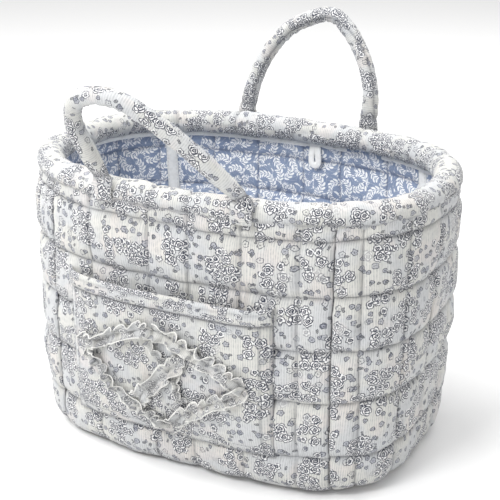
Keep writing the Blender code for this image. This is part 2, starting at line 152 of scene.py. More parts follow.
# %% The socket class
class Wire:
    """One output socket of a material. Operators with numbers or other wires add Math nodes."""

    def __init__(self, finish, socket):
        self.finish, self.socket = finish, socket

    def math(self, operation, *others):
        node = self.finish.add("ShaderNodeMath", {"operation": operation}, dict(enumerate([self, *others])))
        return Wire(self.finish, node.outputs[0])

    def __add__(self, other):
        return self.math("ADD", other)

    def __sub__(self, other):
        return self.math("SUBTRACT", other)

    def __rsub__(self, other):
        return self.finish.number(other).math("SUBTRACT", self)

    def __mul__(self, other):
        return self.math("MULTIPLY", other)

    def __truediv__(self, other):
        return self.math("DIVIDE", other)

    __radd__, __rmul__ = __add__, __mul__

    def __abs__(self):
        return self.math("ABSOLUTE")

    def least(self, other):
        return self.math("MINIMUM", other)

    def most(self, other):
        return self.math("MAXIMUM", other)

    def ramp(self, low, high):
        """0 below low, 1 above high, a smooth step between; low may be above high."""
        node = self.finish.add(
            "ShaderNodeMapRange", {"interpolation_type": "SMOOTHSTEP"}, {0: self, 1: low, 2: high}
        )
        return Wire(self.finish, node.outputs[0])

    def vector(self, operation, *others, output=0, **named):
        settings = {"operation": operation}
        node = self.finish.add(
            "ShaderNodeVectorMath", settings, {**dict(enumerate([self, *others])), **named}
        )
        return Wire(self.finish, node.outputs[output])

    def parts(self):
        node = self.finish.add("ShaderNodeSeparateXYZ", {}, {0: self})
        return [Wire(self.finish, node.outputs[k]) for k in range(3)]


class Finish:
    """A material under construction: its shader, and the one method that adds any other node."""

    def __init__(self, name, roughness=0.9, sheen=0.0, specular=0.3):
        self.material = bpy.data.materials.new(name)
        self.material.use_nodes = True
        self.tree = self.material.node_tree
        self.shader = self.tree.nodes["Principled BSDF"]
        for socket, value in (
            ("Roughness", roughness), ("Sheen Weight", sheen), ("Specular IOR Level", specular)
        ):
            self.shader.inputs[socket].default_value = value

    def add(self, kind, settings, inputs):
        """A node of a type, its settings first and then the values or wires of its sockets."""
        node = self.tree.nodes.new(kind)
        for name, value in settings.items():
            setattr(node, name, value)
        for socket, value in inputs.items():
            if isinstance(value, Wire):
                self.tree.links.new(value.socket, node.inputs[socket])
            else:
                node.inputs[socket].default_value = value
        return node

    def wire(self, kind, settings, inputs, output=0):
        return Wire(self, self.add(kind, settings, inputs).outputs[output])

    def number(self, value):
        return self.wire("ShaderNodeMath", {"operation": "ADD"}, {0: value, 1: 0.0})

    def cloth_place(self):
        """The piece's UV map, in millimetres along and up its cloth."""
        return self.wire("ShaderNodeUVMap", {"uv_map": "cloth"}, {}).vector("SCALE", Scale=1000.0)

    def noise(self, place, scale, detail=2.0, roughness=0.5):
        settings = {"noise_dimensions": "2D"}
        values = {"Vector": place, "Scale": scale, "Detail": detail, "Roughness": roughness}
        return self.wire("ShaderNodeTexNoise", settings, values)

    def blend(self, share, first, second):
        """A colour between two, each a wire or three numbers."""
        full = [c if isinstance(c, Wire) else (*c, 1.0) for c in (first, second)]
        return self.wire("ShaderNodeMix", {"data_type": "RGBA"}, {0: share, 6: full[0], 7: full[1]}, 2)

    def stamps(self, place, spacing, loose=1.0, shift=(0.0, 0.0)):
        """Scattered motifs: the place seen from the nearest of many points and turned at random, two random
        numbers, and where that point is."""
        moved = place.vector("ADD", (*shift, 0.0)).vector("SCALE", Scale=1.0 / spacing)
        settings = {"voronoi_dimensions": "2D", "feature": "F1"}
        node = self.add(
            "ShaderNodeTexVoronoi", settings, {"Vector": moved, "Scale": 1.0, "Randomness": loose}
        )
        chance = self.add("ShaderNodeSeparateColor", {}, {0: Wire(self, node.outputs["Color"])})
        red, green, blue = (Wire(self, chance.outputs[k]) for k in range(3))
        position = Wire(self, node.outputs["Position"])
        local = moved.vector("SUBTRACT", position).vector("SCALE", Scale=spacing)
        turned = self.wire(
            "ShaderNodeVectorRotate", {"rotation_type": "Z_AXIS"}, {"Vector": local, "Angle": red * math.tau}
        )
        centre = position.vector("SCALE", Scale=spacing).vector("SUBTRACT", (*shift, 0.0))
        return turned, green, blue, centre

    def mark(self, name):
        """A number stored on the mesh, such as how much painted shade lies on a point; 0 where the mesh has
        none.
        """
        return self.wire("ShaderNodeAttribute", {"attribute_name": name}, {}, 2)

    def bump(self, height, distance, strength):
        """A tilt of the surface as if it were raised by height times a distance in metres."""
        return self.wire("ShaderNodeBump", {}, {"Height": height, "Distance": distance, "Strength": strength})

    def done(self, **sockets):
        for name, value in sockets.items():
            self.tree.links.new(value.socket, self.shader.inputs[name.replace("_", " ")])
        return self.material


print("one Wire has", sum(callable(item) for item in vars(Wire).values()), "operations")

# %% [markdown]
# ## The floor
# A plain pale plane to stand on. It's staged, so it never counts as a piece of the object. It reaches far
# enough for its edge to stay out of sight from every height that looks down.

# %% Floor
REACH = 20.0
corners = [(-REACH, -REACH, 0), (REACH, -REACH, 0), (REACH, REACH, 0), (-REACH, REACH, 0)]
floor_mesh = bpy.data.meshes.new("floor")
floor_mesh.from_pydata(corners, [], [(0, 1, 2, 3)])
floor = bpy.data.objects.new("floor", floor_mesh)
bpy.context.scene.collection.objects.link(floor)
floor_finish = Finish("pale_floor", roughness=0.9, specular=0.1)
floor_finish.shader.inputs["Base Color"].default_value = (0.86, 0.86, 0.86, 1)
floor_mesh.materials.append(floor_finish.material)
floor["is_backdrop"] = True
print("the floor is", 2 * REACH, "m square")

# %% [markdown]
# ## The floral print
# Ivory cotton with faint woven pinstripes. Over it lie loose bunches of line-drawn roses, and between the
# bunches small flowers, leaves and open blossoms. A painted image would do it, but a formula stays sharp at
# any size: points are scattered by a Voronoi texture, and each motif is a curve drawn round its nearest
# point.


# %% Motifs
def blossom(local, petals, radius, notch):
    """Inside of r = radius (1 - notch + notch |cos(petals a / 2)|): mm inside its outline, and r."""
    x, y, _ = local.parts()
    angle = y.math("ARCTAN2", x)
    reach = abs((angle * (petals / 2)).math("COSINE")) * (radius * notch) + radius * (1 - notch)
    r = local.vector("LENGTH", output=1)
    return reach - r, r


def rose_lines(local, rings, chance):
    """A rose in lines: rings r = radius (0.76 + 0.24 |sin(lobes a / 2 + turn)|), each turned against the
    last. Gives the lines, and what lies inside the outermost."""
    x, y, _ = local.parts()
    angle = y.math("ARCTAN2", x)
    r = local.vector("LENGTH", output=1)
    lines = r.ramp(0.65, 0.35)
    for number, (radius, lobes) in enumerate(rings):
        scallop = abs((angle * (lobes / 2) + chance * 9.0 + number * 1.3).math("SINE"))
        edge = scallop * (0.24 * radius) + 0.76 * radius
        lines = lines.most(abs(r - edge).ramp(0.54, 0.28))
    return lines, (edge - r).ramp(-0.1, 0.15)


# %% Floral cotton
# mm between the points of the bunches, and how far they stray from a grid
BUNCH_SPACING, BUNCH_LOOSE = 31.0, 0.6
PINSTRIPE, WEAVE = 1.75, 0.52  # mm from one pinstripe or thread to the next
INK, MIDDLE, OLIVE = (0.036, 0.041, 0.064), (0.285, 0.297, 0.345), (0.31, 0.315, 0.30)


def floral_cotton(name, frayed=False):
    """The printed cotton; the ruffles' version is paler and has a worn raw edge."""
    f = Finish(name, roughness=0.92, sheen=0.2, specular=0.2)
    p = f.cloth_place()
    u, v, _ = p.parts()
    ground = f.blend(f.noise(p, 0.03, 2.0).ramp(0.38, 0.62), (0.62, 0.615, 0.58), (0.555, 0.565, 0.575))
    rosy = f.noise(p.vector("ADD", (71.0, 13.0, 0.0)), 0.035, 1.0).ramp(0.54, 0.68)
    ground = f.blend(rosy * 0.5, ground, (0.68, 0.625, 0.595))
    stripe = (u * (math.tau / PINSTRIPE)).math("SINE") * 0.5 + 0.5
    worn = f.noise(p, 0.35, 3.0).ramp(0.3, 0.75)
    ground = f.blend(stripe * (worn * 0.5 + 0.25), ground, (0.34, 0.35, 0.36))
    shake = f.wire(
        "ShaderNodeTexNoise", {"noise_dimensions": "2D"}, {"Vector": p, "Scale": 0.45, "Detail": 1.0}, 1
    )
    drawn = p.vector("ADD", shake.vector("SUBTRACT", (0.5, 0.5, 0.5)).vector("SCALE", Scale=1.5))
    speck = f.noise(p, 1.1, 2.0).ramp(0.32, 0.62) * 0.45 + 0.5
    # small motifs between the bunches: their own point decides whether a whole one is drawn
    for spacing, shift, radius, petals, keep, shade in (
        (10.6, (3.0, 8.0), 2.5, 5, 0.45, MIDDLE), (8.4, (41.0, 17.0), 1.8, 3, 0.55, MIDDLE),
        (7.8, (9.0, 63.0), 1.5, 2, 0.60, OLIVE), (10.5, (27.0, 35.0), 2.5, 5, 0.72, None),
    ):
        local, pick, _, centre = f.stamps(drawn, spacing, 0.75, shift)
        bunch, size, _, _ = f.stamps(centre, BUNCH_SPACING, BUNCH_LOOSE)
        free = (bunch.vector("LENGTH", output=1) - size * 3.0).ramp(10.8, 11.2) * pick.ramp(keep, keep + 0.01)
        inside, r = blossom(local, petals, radius, 0.24 if petals > 2 else 0.55)
        if shade is not None:
            ground = f.blend(free * inside.ramp(-0.12, 0.2) * speck * 0.85, ground, shade)
        ground = f.blend(free * abs(inside - 0.1).ramp(0.42, 0.16) * (0.85 if shade else 0.8), ground, INK)
        ground = f.blend(free * r.ramp(0.85, 0.45) * 0.6, ground, INK)
    # bunches: whole roses whose own points lie near a bunch's point, small frilled ones round them
    tint = f.noise(p, 0.22, 2.0).ramp(0.50, 0.68)
    petal = f.blend(tint * 0.12, (0.745, 0.745, 0.74), (0.44, 0.455, 0.52))
    for spacing, shift, rings, near, keep in (
        (6.8, (13.0, 29.0), ((1.2, 3), (3.1, 5)), 11.6, 0.40),
        (8.8, (5.0, 2.0), ((1.25, 3), (2.85, 4), (4.5, 5)), 8.4, 0.0),
    ):
        local, pick, other, centre = f.stamps(drawn, spacing, 0.6, shift)
        bunch, size, _, _ = f.stamps(centre, BUNCH_SPACING, BUNCH_LOOSE)
        shown = (
            bunch.vector("LENGTH", output=1) - size * 3.0
        ).ramp(near + 0.4, near) * pick.ramp(keep, keep + 0.01)
        lines, inside = rose_lines(local, rings, other)
        ground = f.blend(shown * inside, ground, petal)
        ground = f.blend(shown * lines * (inside * 0.3 + 0.7), ground, INK)
    # Painted shade: a mark stored on the mesh darkens the print in quilting lines, seams, folds and round the
    # ruffles, where shade falls.
    crease = f.mark("crease")
    ground = f.blend(crease.least(1.0) * 0.7, ground, (0.11, 0.115, 0.13))
    if frayed:  # the strips are cut on the bias, and their print is worn pale
        ground = f.blend(0.15, ground, (0.70, 0.695, 0.66))
        pale = (f.mark("edge") + f.noise(p, 0.9, 2.0) * 0.3).ramp(0.95, 1.15) * 0.8
        ground = f.blend(pale, ground, (0.82, 0.815, 0.78))
    weave = (u * (math.tau / WEAVE)).math("SINE") * (v * (math.tau / WEAVE)).math("SINE")
    slub = f.noise(p, 1.6, 3.0, 0.65)
    height = stripe * 0.5 + weave * 0.22 + slub * 0.9
    return f.done(Base_Color=ground, Roughness=stripe * 0.05 + 0.88, Normal=f.bump(height, 0.00035, 0.7))


floral = floral_cotton("floral_cotton")
ruffle_cotton = floral_cotton("ruffle_cotton", frayed=True)
print("floral nodes:", len(floral.node_tree.nodes))


# %% [markdown]
# ## The sprigged lining
# Dusty blue cotton with curved white sprigs, each a stem with pairs of slanting leaves. A sprig is drawn
# along a circle round a point beside it: the angle counts the leaves, and the distance from the circle says
# how far out a leaf is.


# %% Sprigged lining
LEAF_STEP = 3.1  # mm along the stem from one pair of leaves to the next
LEAF_MIDDLE, LEAF_HALF = 1.85, 1.45  # mm from the stem to a leaf's middle, and from there to its tip


def sprigs(f, p, spacing, shift, bend):
    """Leaves in pairs along an arc of radius `bend`, slanting forwards: how white a place is, and whether it
    is on the patch round the sprig's point."""
    local, _, _, _ = f.stamps(p, spacing, 0.5, shift)
    x, y, _ = local.vector("ADD", (bend, 0.0, 0.0)).parts()
    side = abs(local.vector("ADD", (bend, 0.0, 0.0)).vector("LENGTH", output=1) - bend)
    along = y.math("ARCTAN2", x) * bend
    beat = ((along - side * 0.8) / LEAF_STEP).math("FRACT") - 0.5
    share = (side - LEAF_MIDDLE) / LEAF_HALF
    width = (1 - share * share).most(0.0).math("SQRT") * 0.37
    leaf = (width - abs(beat)).ramp(-0.045, 0.02)
    patch = local.vector("LENGTH", output=1).ramp(spacing * 0.56, spacing * 0.53)
    return leaf.most(side.ramp(0.42, 0.18) * 0.85) * patch, patch


def sprigged_lining():
    """Three layers of sprigs on a blue ground. A later layer only shows where no earlier patch lies."""
    f = Finish("blue_sprig_lining", roughness=0.9, sheen=0.2, specular=0.2)
    p = f.cloth_place()
    u, v, _ = p.parts()
    ground = f.blend(f.noise(p, 0.05, 2.0).ramp(0.35, 0.65), (0.27, 0.335, 0.475), (0.33, 0.40, 0.54))
    ground = f.blend(f.noise(p, 1.2, 3.0) * 0.35, ground, (0.19, 0.245, 0.37))
    white, taken = sprigs(f, p, 13.5, (0.0, 0.0), 7.5)
    for spacing, shift, bend in ((12.5, (37.0, 11.0), 6.0), (13.0, (5.0, 71.0), 9.0)):
        more, patch = sprigs(f, p, spacing, shift, bend)
        white = white.most(more * (1 - taken))
        taken = taken.most(patch)
    colour = f.blend(white * (f.noise(p, 0.9, 2.0).ramp(0.2, 0.4) * 0.08 + 0.92), ground, (1.0, 1.0, 1.0))
    # Painted shade: a mark stored on the mesh darkens the lining along its quilting lines, its seams and under
    # the rim tape.
    colour = f.blend(f.mark("crease").least(1.0) * 0.9, colour, (0.075, 0.095, 0.16))
    weave = (u * (math.tau / WEAVE)).math("SINE") * (v * (math.tau / WEAVE)).math("SINE")
    height = weave * 0.3 + f.noise(p, 1.5, 3.0, 0.65)
    return f.done(Base_Color=colour, Normal=f.bump(height, 0.0003, 0.6))


lining_cotton = sprigged_lining()
print("lining nodes:", len(lining_cotton.node_tree.nodes))


# %% White tape and threads
def woven_tape(name, colour, shade, rib):
    """Tape: ribs across its width, a slightly soiled edge."""
    f = Finish(name, roughness=0.8, sheen=0.15, specular=0.3)
    p = f.cloth_place()
    u, _, _ = p.parts()
    ribs = (u * (math.tau / rib)).math("SINE") * 0.5 + 0.5
    dirt = f.noise(p, 0.3, 3.0).ramp(0.35, 0.75)
    base = f.blend(dirt * 0.5, colour, shade)
    base = f.blend(ribs * 0.12, base, shade)
    return f.done(Base_Color=base, Normal=f.bump(ribs + f.noise(p, 2.0, 2.0), 0.0002, 0.6))


def thread(name, colour, shade):
    """Sewing thread: a twist of fine slanting bands."""
    f = Finish(name, roughness=0.6, sheen=0.1, specular=0.4)
    place = f.wire("ShaderNodeTexCoord", {}, {}, 3)
    x, y, z = place.parts()
    twist = ((x + y + z) * (math.tau / 0.0006)).math("SINE") * 0.5 + 0.5
    base = f.blend(twist * 0.5 + f.noise(place, 300.0) * 0.3, colour, shade)
    return f.done(Base_Color=base)


tape_white = woven_tape("white_tape", (0.90, 0.90, 0.88), (0.76, 0.76, 0.74), 0.9)
ribbon_white = woven_tape("white_ribbon", (0.97, 0.97, 0.95), (0.86, 0.85, 0.82), 0.6)
thread_pale = thread("pale_thread", (0.72, 0.72, 0.69), (0.55, 0.56, 0.56))
thread_grey = thread("grey_thread", (0.30, 0.31, 0.33), (0.42, 0.43, 0.44))
thread_blue = thread("blue_thread", (0.16, 0.20, 0.31), (0.24, 0.29, 0.42))
print("materials:", sorted(material.name for material in bpy.data.materials))

# %% [markdown]
# ## Surfaces from arrays
# Every panel is a grid of points worked out at once. The helper puts a grid in a mesh, joins its ends where
# it runs round, and stores how far along and up the cloth each point lies, so that a print keeps its scale.


# %% Grid to mesh
def ramp01(x):
    """The curve 3x^2 - 2x^3 between 0 and 1."""
    x = np.clip(x, 0.0, 1.0)
    return x * x * (3 - 2 * x)


def wander(u, v, step, seed):
    """Smooth random field between -1 and 1: random heights every `step`, joined by the curve 3t^2 - 2t^3."""
    heights = np.random.default_rng(seed).uniform(-1, 1, (64, 64))
    a, b = np.broadcast_arrays(np.asarray(u) / step + 31.0, np.asarray(v) / step + 17.0)
    i, j = np.floor(a).astype(int), np.floor(b).astype(int)
    s, t = ramp01(a - i), ramp01(b - j)
    i, j = i % 64, j % 64
    k, m = (i + 1) % 64, (j + 1) % 64
    low = heights[i, j] * (1 - s) + heights[k, j] * s
    high = heights[i, m] * (1 - s) + heights[k, m] * s
    return low * (1 - t) + high * t


def together(*coordinates):
    """Arrays of coordinates as one array of points."""
    return np.stack(np.broadcast_arrays(*coordinates), axis=-1)


def slope_lengths(points, axis):
    """Distance along a grid's lines from their first point."""
    step = np.linalg.norm(np.diff(points, axis=axis), axis=-1)
    pad = [(0, 0), (0, 0)]
    pad[axis] = (1, 0)
    return np.cumsum(np.pad(step, pad), axis=axis)


def grid_piece(name, points, place, material, ring_u=False, ring_v=False, caps=False, flip=False, **marks):
    """One object from points[i, j], with the cloth place[i, j] of each corner in metres. Where the grid runs
    round, place has one more. A mark is a number for each point, for the material to read."""
    nu, nv = points.shape[:2]
    i, j = np.meshgrid(
        np.arange(nu if ring_u else nu - 1), np.arange(nv if ring_v else nv - 1), indexing="ij"
    )
    i, j = i.ravel(), j.ravel()
    corner_i = np.stack([i, i + 1, i + 1, i], axis=1)
    corner_j = np.stack([j, j, j + 1, j + 1], axis=1)
    if flip:
        corner_i, corner_j = corner_i[:, ::-1], corner_j[:, ::-1]
    quads = (corner_i % nu) * nv + corner_j % nv
    cloth = place[corner_i, corner_j].reshape(-1, 2)
    loops, starts, totals = quads.ravel(), np.arange(len(quads)) * 4, np.full(len(quads), 4)
    if caps:
        first, last = np.arange(nv), (nu - 1) * nv + np.arange(nv)
        first, last = (first, last[::-1]) if flip else (first[::-1], last)
        starts = np.concatenate([starts, [len(loops), len(loops) + nv]])
        totals = np.concatenate([totals, [nv, nv]])
        loops = np.concatenate([loops, first, last])
        cloth = np.vstack([cloth, np.repeat(place[:1, :1].reshape(1, 2), 2 * nv, axis=0)])
    mesh = bpy.data.meshes.new(name)
    mesh.vertices.add(nu * nv)
    mesh.vertices.foreach_set("co", points.reshape(-1).astype(np.float32))
    mesh.loops.add(len(loops))
    mesh.loops.foreach_set("vertex_index", loops.astype(np.int32))
    mesh.polygons.add(len(starts))
    mesh.polygons.foreach_set("loop_start", starts.astype(np.int32))
    mesh.polygons.foreach_set("loop_total", totals.astype(np.int32))
    mesh.update(calc_edges=True)
    mesh.uv_layers.new(name="cloth").data.foreach_set("uv", cloth.reshape(-1).astype(np.float32))
    for mark, values in marks.items():
        values = np.broadcast_to(values, points.shape[:2]).reshape(-1).astype(np.float32)
        mesh.attributes.new(mark, "FLOAT", "POINT").data.foreach_set("value", values)
    mesh.shade_smooth()
    mesh.materials.append(material)
    item = bpy.data.objects.new(name, mesh)
    bpy.context.scene.collection.objects.link(item)
    return item


def thick(item, depth):
    """Gives a sheet its thickness, on the side away from its face."""
    solid = item.modifiers.new("thickness", "SOLIDIFY")
    solid.thickness, solid.offset, solid.use_rim = depth, -1.0, True
    return item


def on_bag(item, slot, *nodes):
    """The piece rides on the bag and stands in for the named solids. The slot is not used."""
    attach(item, "bag")
    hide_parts(*nodes)
    return item


def apart(points):
    """Distances along a line of points, from its first."""
    return np.concatenate([[0], np.cumsum(np.linalg.norm(np.diff(points, axis=0), axis=1))])


def at_distances(wanted, along, points):
    """The places at some distances along a line of points."""
    return np.stack([np.interp(wanted, along, column) for column in points.T], axis=1)


def fade(distance, width):
    """1 on a line, fading as exp(-distance / width) away from it."""
    return np.exp(-distance / width)


sample = wander(np.linspace(0, 1, 500), 0.0, 0.01, 1)
print("a wandering field runs from", round(float(sample.min()), 2), "to", round(float(sample.max()), 2))


# %% Stitches
def stitches(name, start, end, up, width, material, lift=0.0):
    """Short threads from start[k] to end[k] on a surface whose normals are up[k]. Each is five six-sided
    rings, thickest in the middle, where it also stands highest."""
    start, end, up = (np.asarray(a, float).reshape(-1, 3) for a in (start, end, up))
    along = end - start
    side = np.cross(along, up)
    side /= np.linalg.norm(side, axis=1, keepdims=True) + 1e-12
    rise = np.cross(side, along)
    rise /= np.linalg.norm(rise, axis=1, keepdims=True) + 1e-12
    t = np.array([0.02, 0.2, 0.5, 0.8, 0.98])
    swell = np.sqrt(1 - (2 * t - 1) ** 2) * 0.75 + 0.25
    hump = 4 * t * (1 - t) * width * 0.8 + lift
    angle = np.linspace(0, 2 * np.pi, 6, endpoint=False)
    centre = start[:, None] + along[:, None] * t[None, :, None] + rise[:, None] * hump[None, :, None]
    ring = (
        side[:, None, None] * np.cos(angle)[None, None, :, None]
        + rise[:, None, None] * np.sin(angle)[None, None, :, None]
    )
    points = centre[:, :, None] + ring * (swell * width / 2)[None, :, None, None]
    count = len(start)
    k, m = np.meshgrid(np.arange(4), np.arange(6), indexing="ij")
    k, m = k.ravel(), m.ravel()
    quad = np.stack([k * 6 + m, k * 6 + (m + 1) % 6, (k + 1) * 6 + (m + 1) % 6, (k + 1) * 6 + m], axis=1)
    faces = [tuple(q) for q in (quad[None] + 30 * np.arange(count)[:, None, None]).reshape(-1, 4).tolist()]
    ends = np.concatenate([np.arange(6)[::-1][None], np.arange(24, 30)[None]])
    faces += [tuple(q) for q in (ends[None] + 30 * np.arange(count)[:, None, None]).reshape(-1, 6).tolist()]
    mesh = bpy.data.meshes.new(name)
    mesh.from_pydata(points.reshape(-1, 3).tolist(), [], faces)
    mesh.shade_smooth()
    mesh.materials.append(material)
    item = bpy.data.objects.new(name, mesh)
    bpy.context.scene.collection.objects.link(item)
    return item


# %% [markdown]
# ## The quilted walls
# Quilting sews the layers together along a grid of lines, so the wadding puffs up between them and the
# cloth puckers along the thread. A cloth simulation could blow the cells up, but it would blur the narrow
# creases. The height is therefore a formula: each cell rises as 1 - exp(-distance / softness) from its
# nearest lines.


# %% The wall's surface
def across(x, a, b, n):
    """Half width of a superellipse at x: b (1 - |x/a|^n)^(1/n)."""
    return b * (1 - np.minimum(np.abs(x) / a, 1.0) ** n) ** (1 / n)


def around(angle, a, b, n):
    """Reach of a superellipse in a direction: ((|cos|/a)^n + (|sin|/b)^n)^(-1/n), as a point."""
    reach = ((np.abs(np.cos(angle)) / a) ** n + (np.abs(np.sin(angle)) / b) ** n) ** (-1 / n)
    return reach * np.cos(angle), reach * np.sin(angle)


def wall_rows(v, out):
    """Plan and height at a length v up the face, `out` metres outside it: a quarter circle, then the wall."""
    turn = np.minimum(v / EDGE, np.pi / 2)
    up = np.maximum(v - EDGE * np.pi / 2, 0.0)
    share = up / (SEAM - EDGE)
    grow = (EDGE + out) * np.sin(turn) - EDGE + BULGE * np.sin(np.pi * np.clip(share, 0, 1))
    half_length, half_width, power = (FOOT[k] + (MOUTH[k] - FOOT[k]) * share for k in range(3))
    return half_length + grow, half_width + grow, power, EDGE - (EDGE + out) * np.cos(turn) + up


def wall_face(panel, s, v, out):
    """Points of a panel: s from -1 to 1 between its seams, v up its face, `out` outside its face."""
    a, b, n, z = wall_rows(v, out)
    seam = np.minimum(SEAM_X, 0.86 * a)
    if panel in ("front", "back"):
        x = s * seam
        y = (-1 if panel == "front" else 1) * across(x, a, b, n)
    else:
        corner = np.arctan2(across(seam, a, b, n), seam)
        x, y = around(corner * s, a, b, n)
        x = x * (1 if panel == "right" else -1)
    return together(x, y, z)


SOFT = 0.0052  # how far from a line the wadding reaches most of its height
UP_LINES = {  # quilting lines up each panel: x on the long sides, distance from the first seam on the ends
    "front": [-0.075, -0.021, 0.013, 0.055, 0.097], "back": [-0.085, -0.043, 0.001, 0.037, 0.083],
    "right": [0.022, 0.062, 0.103, 0.144, 0.184], "left": [0.031, 0.073, 0.114, 0.156, 0.197],
}
LEVEL_LINES = np.array([0.035, 0.081, 0.123, 0.165, 0.208]) - EDGE + EDGE * math.pi / 2


def seam_to_seam(panel, depth):
    """Values of s for the upright lines, the seams among them, from their places half way up the panel."""
    s = np.linspace(-1, 1, 401)[:, None]
    if panel in ("front", "back"):
        return np.concatenate([[-1], np.array(UP_LINES[panel]) / SEAM_X, [1]])
    middle = slope_lengths(wall_face(panel, s, np.full_like(s, FACE / 2), -depth), 0)[:, 0]
    return np.concatenate([[-1], np.interp(UP_LINES[panel], middle, s[:, 0]), [1]])


def even_between(lines, scale, step):
    """Values that hit every line exactly, about step / scale apart and closer beside a line."""
    runs = []
    for first, last in zip(lines[:-1], lines[1:]):
        t = np.linspace(0, 1, max(4, round((last - first) * scale / step)), endpoint=False)
        runs.append(first + (last - first) * (t - 0.55 * np.sin(2 * np.pi * t) / (2 * np.pi)))
    return np.concatenate([*runs, lines[-1:]])


def quilt_height(s, v, ups, levels, length, puff, soft, deep, seed):
    """Height over the wall's face: cells 1 - exp(-d/soft) high, puckers along the lines, slow undulation."""
    rate = np.gradient(length, axis=0) / np.gradient(s, axis=0)
    to_up = (np.abs(s[..., None] - ups) * rate[..., None]).min(axis=-1)
    to_seam = (1 - np.abs(s)) * rate
    to_level = np.abs(v[..., None] - levels).min(axis=-1)
    cell = (1 - 0.7 * np.exp(-to_up / (0.7 * soft))) * (1 - fade(to_level, soft))
    cell = cell * (0.4 + 0.6 * ramp01(v / 0.05))  # flatter near the floor
    near = np.minimum(to_up, to_level)
    notch = deep * (fade(near, 0.0011) + 0.3 * fade(to_seam, 0.0010))
    pucker = wander(v, length * 0.25, 0.0042, seed + 2) * fade(to_up, 0.006)
    pucker = pucker + wander(length, v * 0.25, 0.0042, seed + 3) * fade(to_level, 0.006)
    slow = 0.0011 * wander(length, v, 0.040, seed + 4) + 0.0009 * wander(length, v, 0.016, seed + 5)
    slow = slow + 0.0004 * wander(length, v, 0.0075, seed + 6)
    height = puff * cell - notch + 0.00085 * pucker + slow * (1 - fade(to_seam, 0.01))
    # Painted shade for the material: along the level lines, fainter along the upright lines and the seams.
    crease = np.maximum(0.62 * fade(to_level, 0.0015), 0.45 * fade(to_up, 0.0011))
    return height, crease + fade(to_seam, 0.0009) * 0.2


print("quilting lines up the panels:", {panel: len(lines) for panel, lines in UP_LINES.items()})
print("quilting lines level with the floor:", len(LEVEL_LINES))


# %% One panel of the wall
PANELS = ("front", "right", "back", "left")
LOWEST_OUTSIDE, LOWEST_INSIDE = -0.0039, -0.0010  # the lining must never show through a valley
LEVEL_SHIFT = {"front": 0.0, "right": 0.0012, "back": -0.001, "left": 0.0016}


def wall_panel(panel, depth, inside, step, puff, seed):
    """Grid of one panel's cloth at a depth in the wall, its print place, its lines, and the painted shade
    along its lines and seams. The lines sway a little, as sewn ones do."""
    ups = seam_to_seam(panel, depth)
    levels = LEVEL_LINES + LEVEL_SHIFT[panel]
    if inside:
        levels[-1] -= 0.010  # the top line runs lower inside, clear of the rim tape
    half = 0.12 if panel in ("front", "back") else 0.112
    s = even_between(ups, half, step)
    v = even_between(np.concatenate([[0], levels, [FACE + 0.0015]]), 1.0, step)
    s, v = np.meshgrid(s, v, indexing="ij")
    length = slope_lengths(wall_face(panel, s, v, -depth), 0)
    height, crease = quilt_height(s, v, ups, levels, length, puff, SOFT, 0.0004 if inside else 0.0009, seed)
    sink = ramp01((v - FACE + 0.008) / 0.008) * 0.0022
    height = (height - puff * (0.2 if inside else 0.56)) * (1 - ramp01(1 - v / 0.012)) - sink
    height = np.maximum(height, LOWEST_INSIDE if inside else LOWEST_OUTSIDE)
    if inside:  # flat under the seam tape
        height = height * ramp01(((1 - np.abs(s)) * half - 0.003) / 0.006)
    sway = 0.0011 * wander(v, s, 0.022, seed) * (1 - s**8) / half
    dip = 0.0010 * wander(length, v, 0.026, seed + 1) * ramp01(v / 0.02) * ramp01((FACE - v) / 0.01)
    points = wall_face(panel, s + sway, v + dip, -depth + (-height if inside else height))
    centred = length - length[len(length) // 2]
    if inside:  # the shade under the rim tape
        crease = crease + 0.9 * fade(np.abs(v - FACE + 0.0108), 0.0013)
    return points, together(centred, v), (s, v, ups, levels), crease


def line_stitches(name, points, s, v, ups, levels, inside, material, pitch=0.0034, length=0.0023):
    """Quilting stitches on a panel's grid, along every level line and every upright one that isn't a seam."""
    columns = [np.argmin(np.abs(s[:, 0] - up)) for up in ups[1:-1]]
    rows = [np.argmin(np.abs(v[0] - level)) for level in levels]
    starts, ends, normals = [], [], []
    for run in [points[c] for c in columns] + [points[:, r] for r in rows]:
        run = run[3:-3]
        along = apart(run)
        at = np.arange(0.001, along[-1] - length, pitch)
        pair = [at_distances(d, along, run) for d in (at, at + length)]
        normal = pair[0] * (1, 1, 0) / (MOUTH[0] ** 2, MOUTH[1] ** 2, 1)
        normal = normal / np.linalg.norm(normal, axis=1, keepdims=True) * (-1 if inside else 1)
        starts.append(pair[0] + normal * 0.0001)
        ends.append(pair[1] + normal * 0.0001)
        normals.append(normal)
    return stitches(name, np.vstack(starts), np.vstack(ends), np.vstack(normals), 0.00032, material)


# %% Outer panels
for number, panel in enumerate(PANELS):
    points, place, lines, crease = wall_panel(panel, 0.0, False, 0.0015, 0.0040, 11 * number + 5)
    place = place + np.array([0.31 * number, 0.17 * number])
    piece = grid_piece(f"{panel}_quilt", points, place, floral, flip=panel in ("left", "back"), crease=crease)
    thick(piece, 0.0012)
    on_bag(piece, "floral_cotton", f"{panel}_outer", f"{panel}_wadding")
    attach(line_stitches(f"{panel}_quilting", points, *lines, False, thread_grey), "bag")
    print(panel, "quilt", len(piece.data.polygons), "faces")

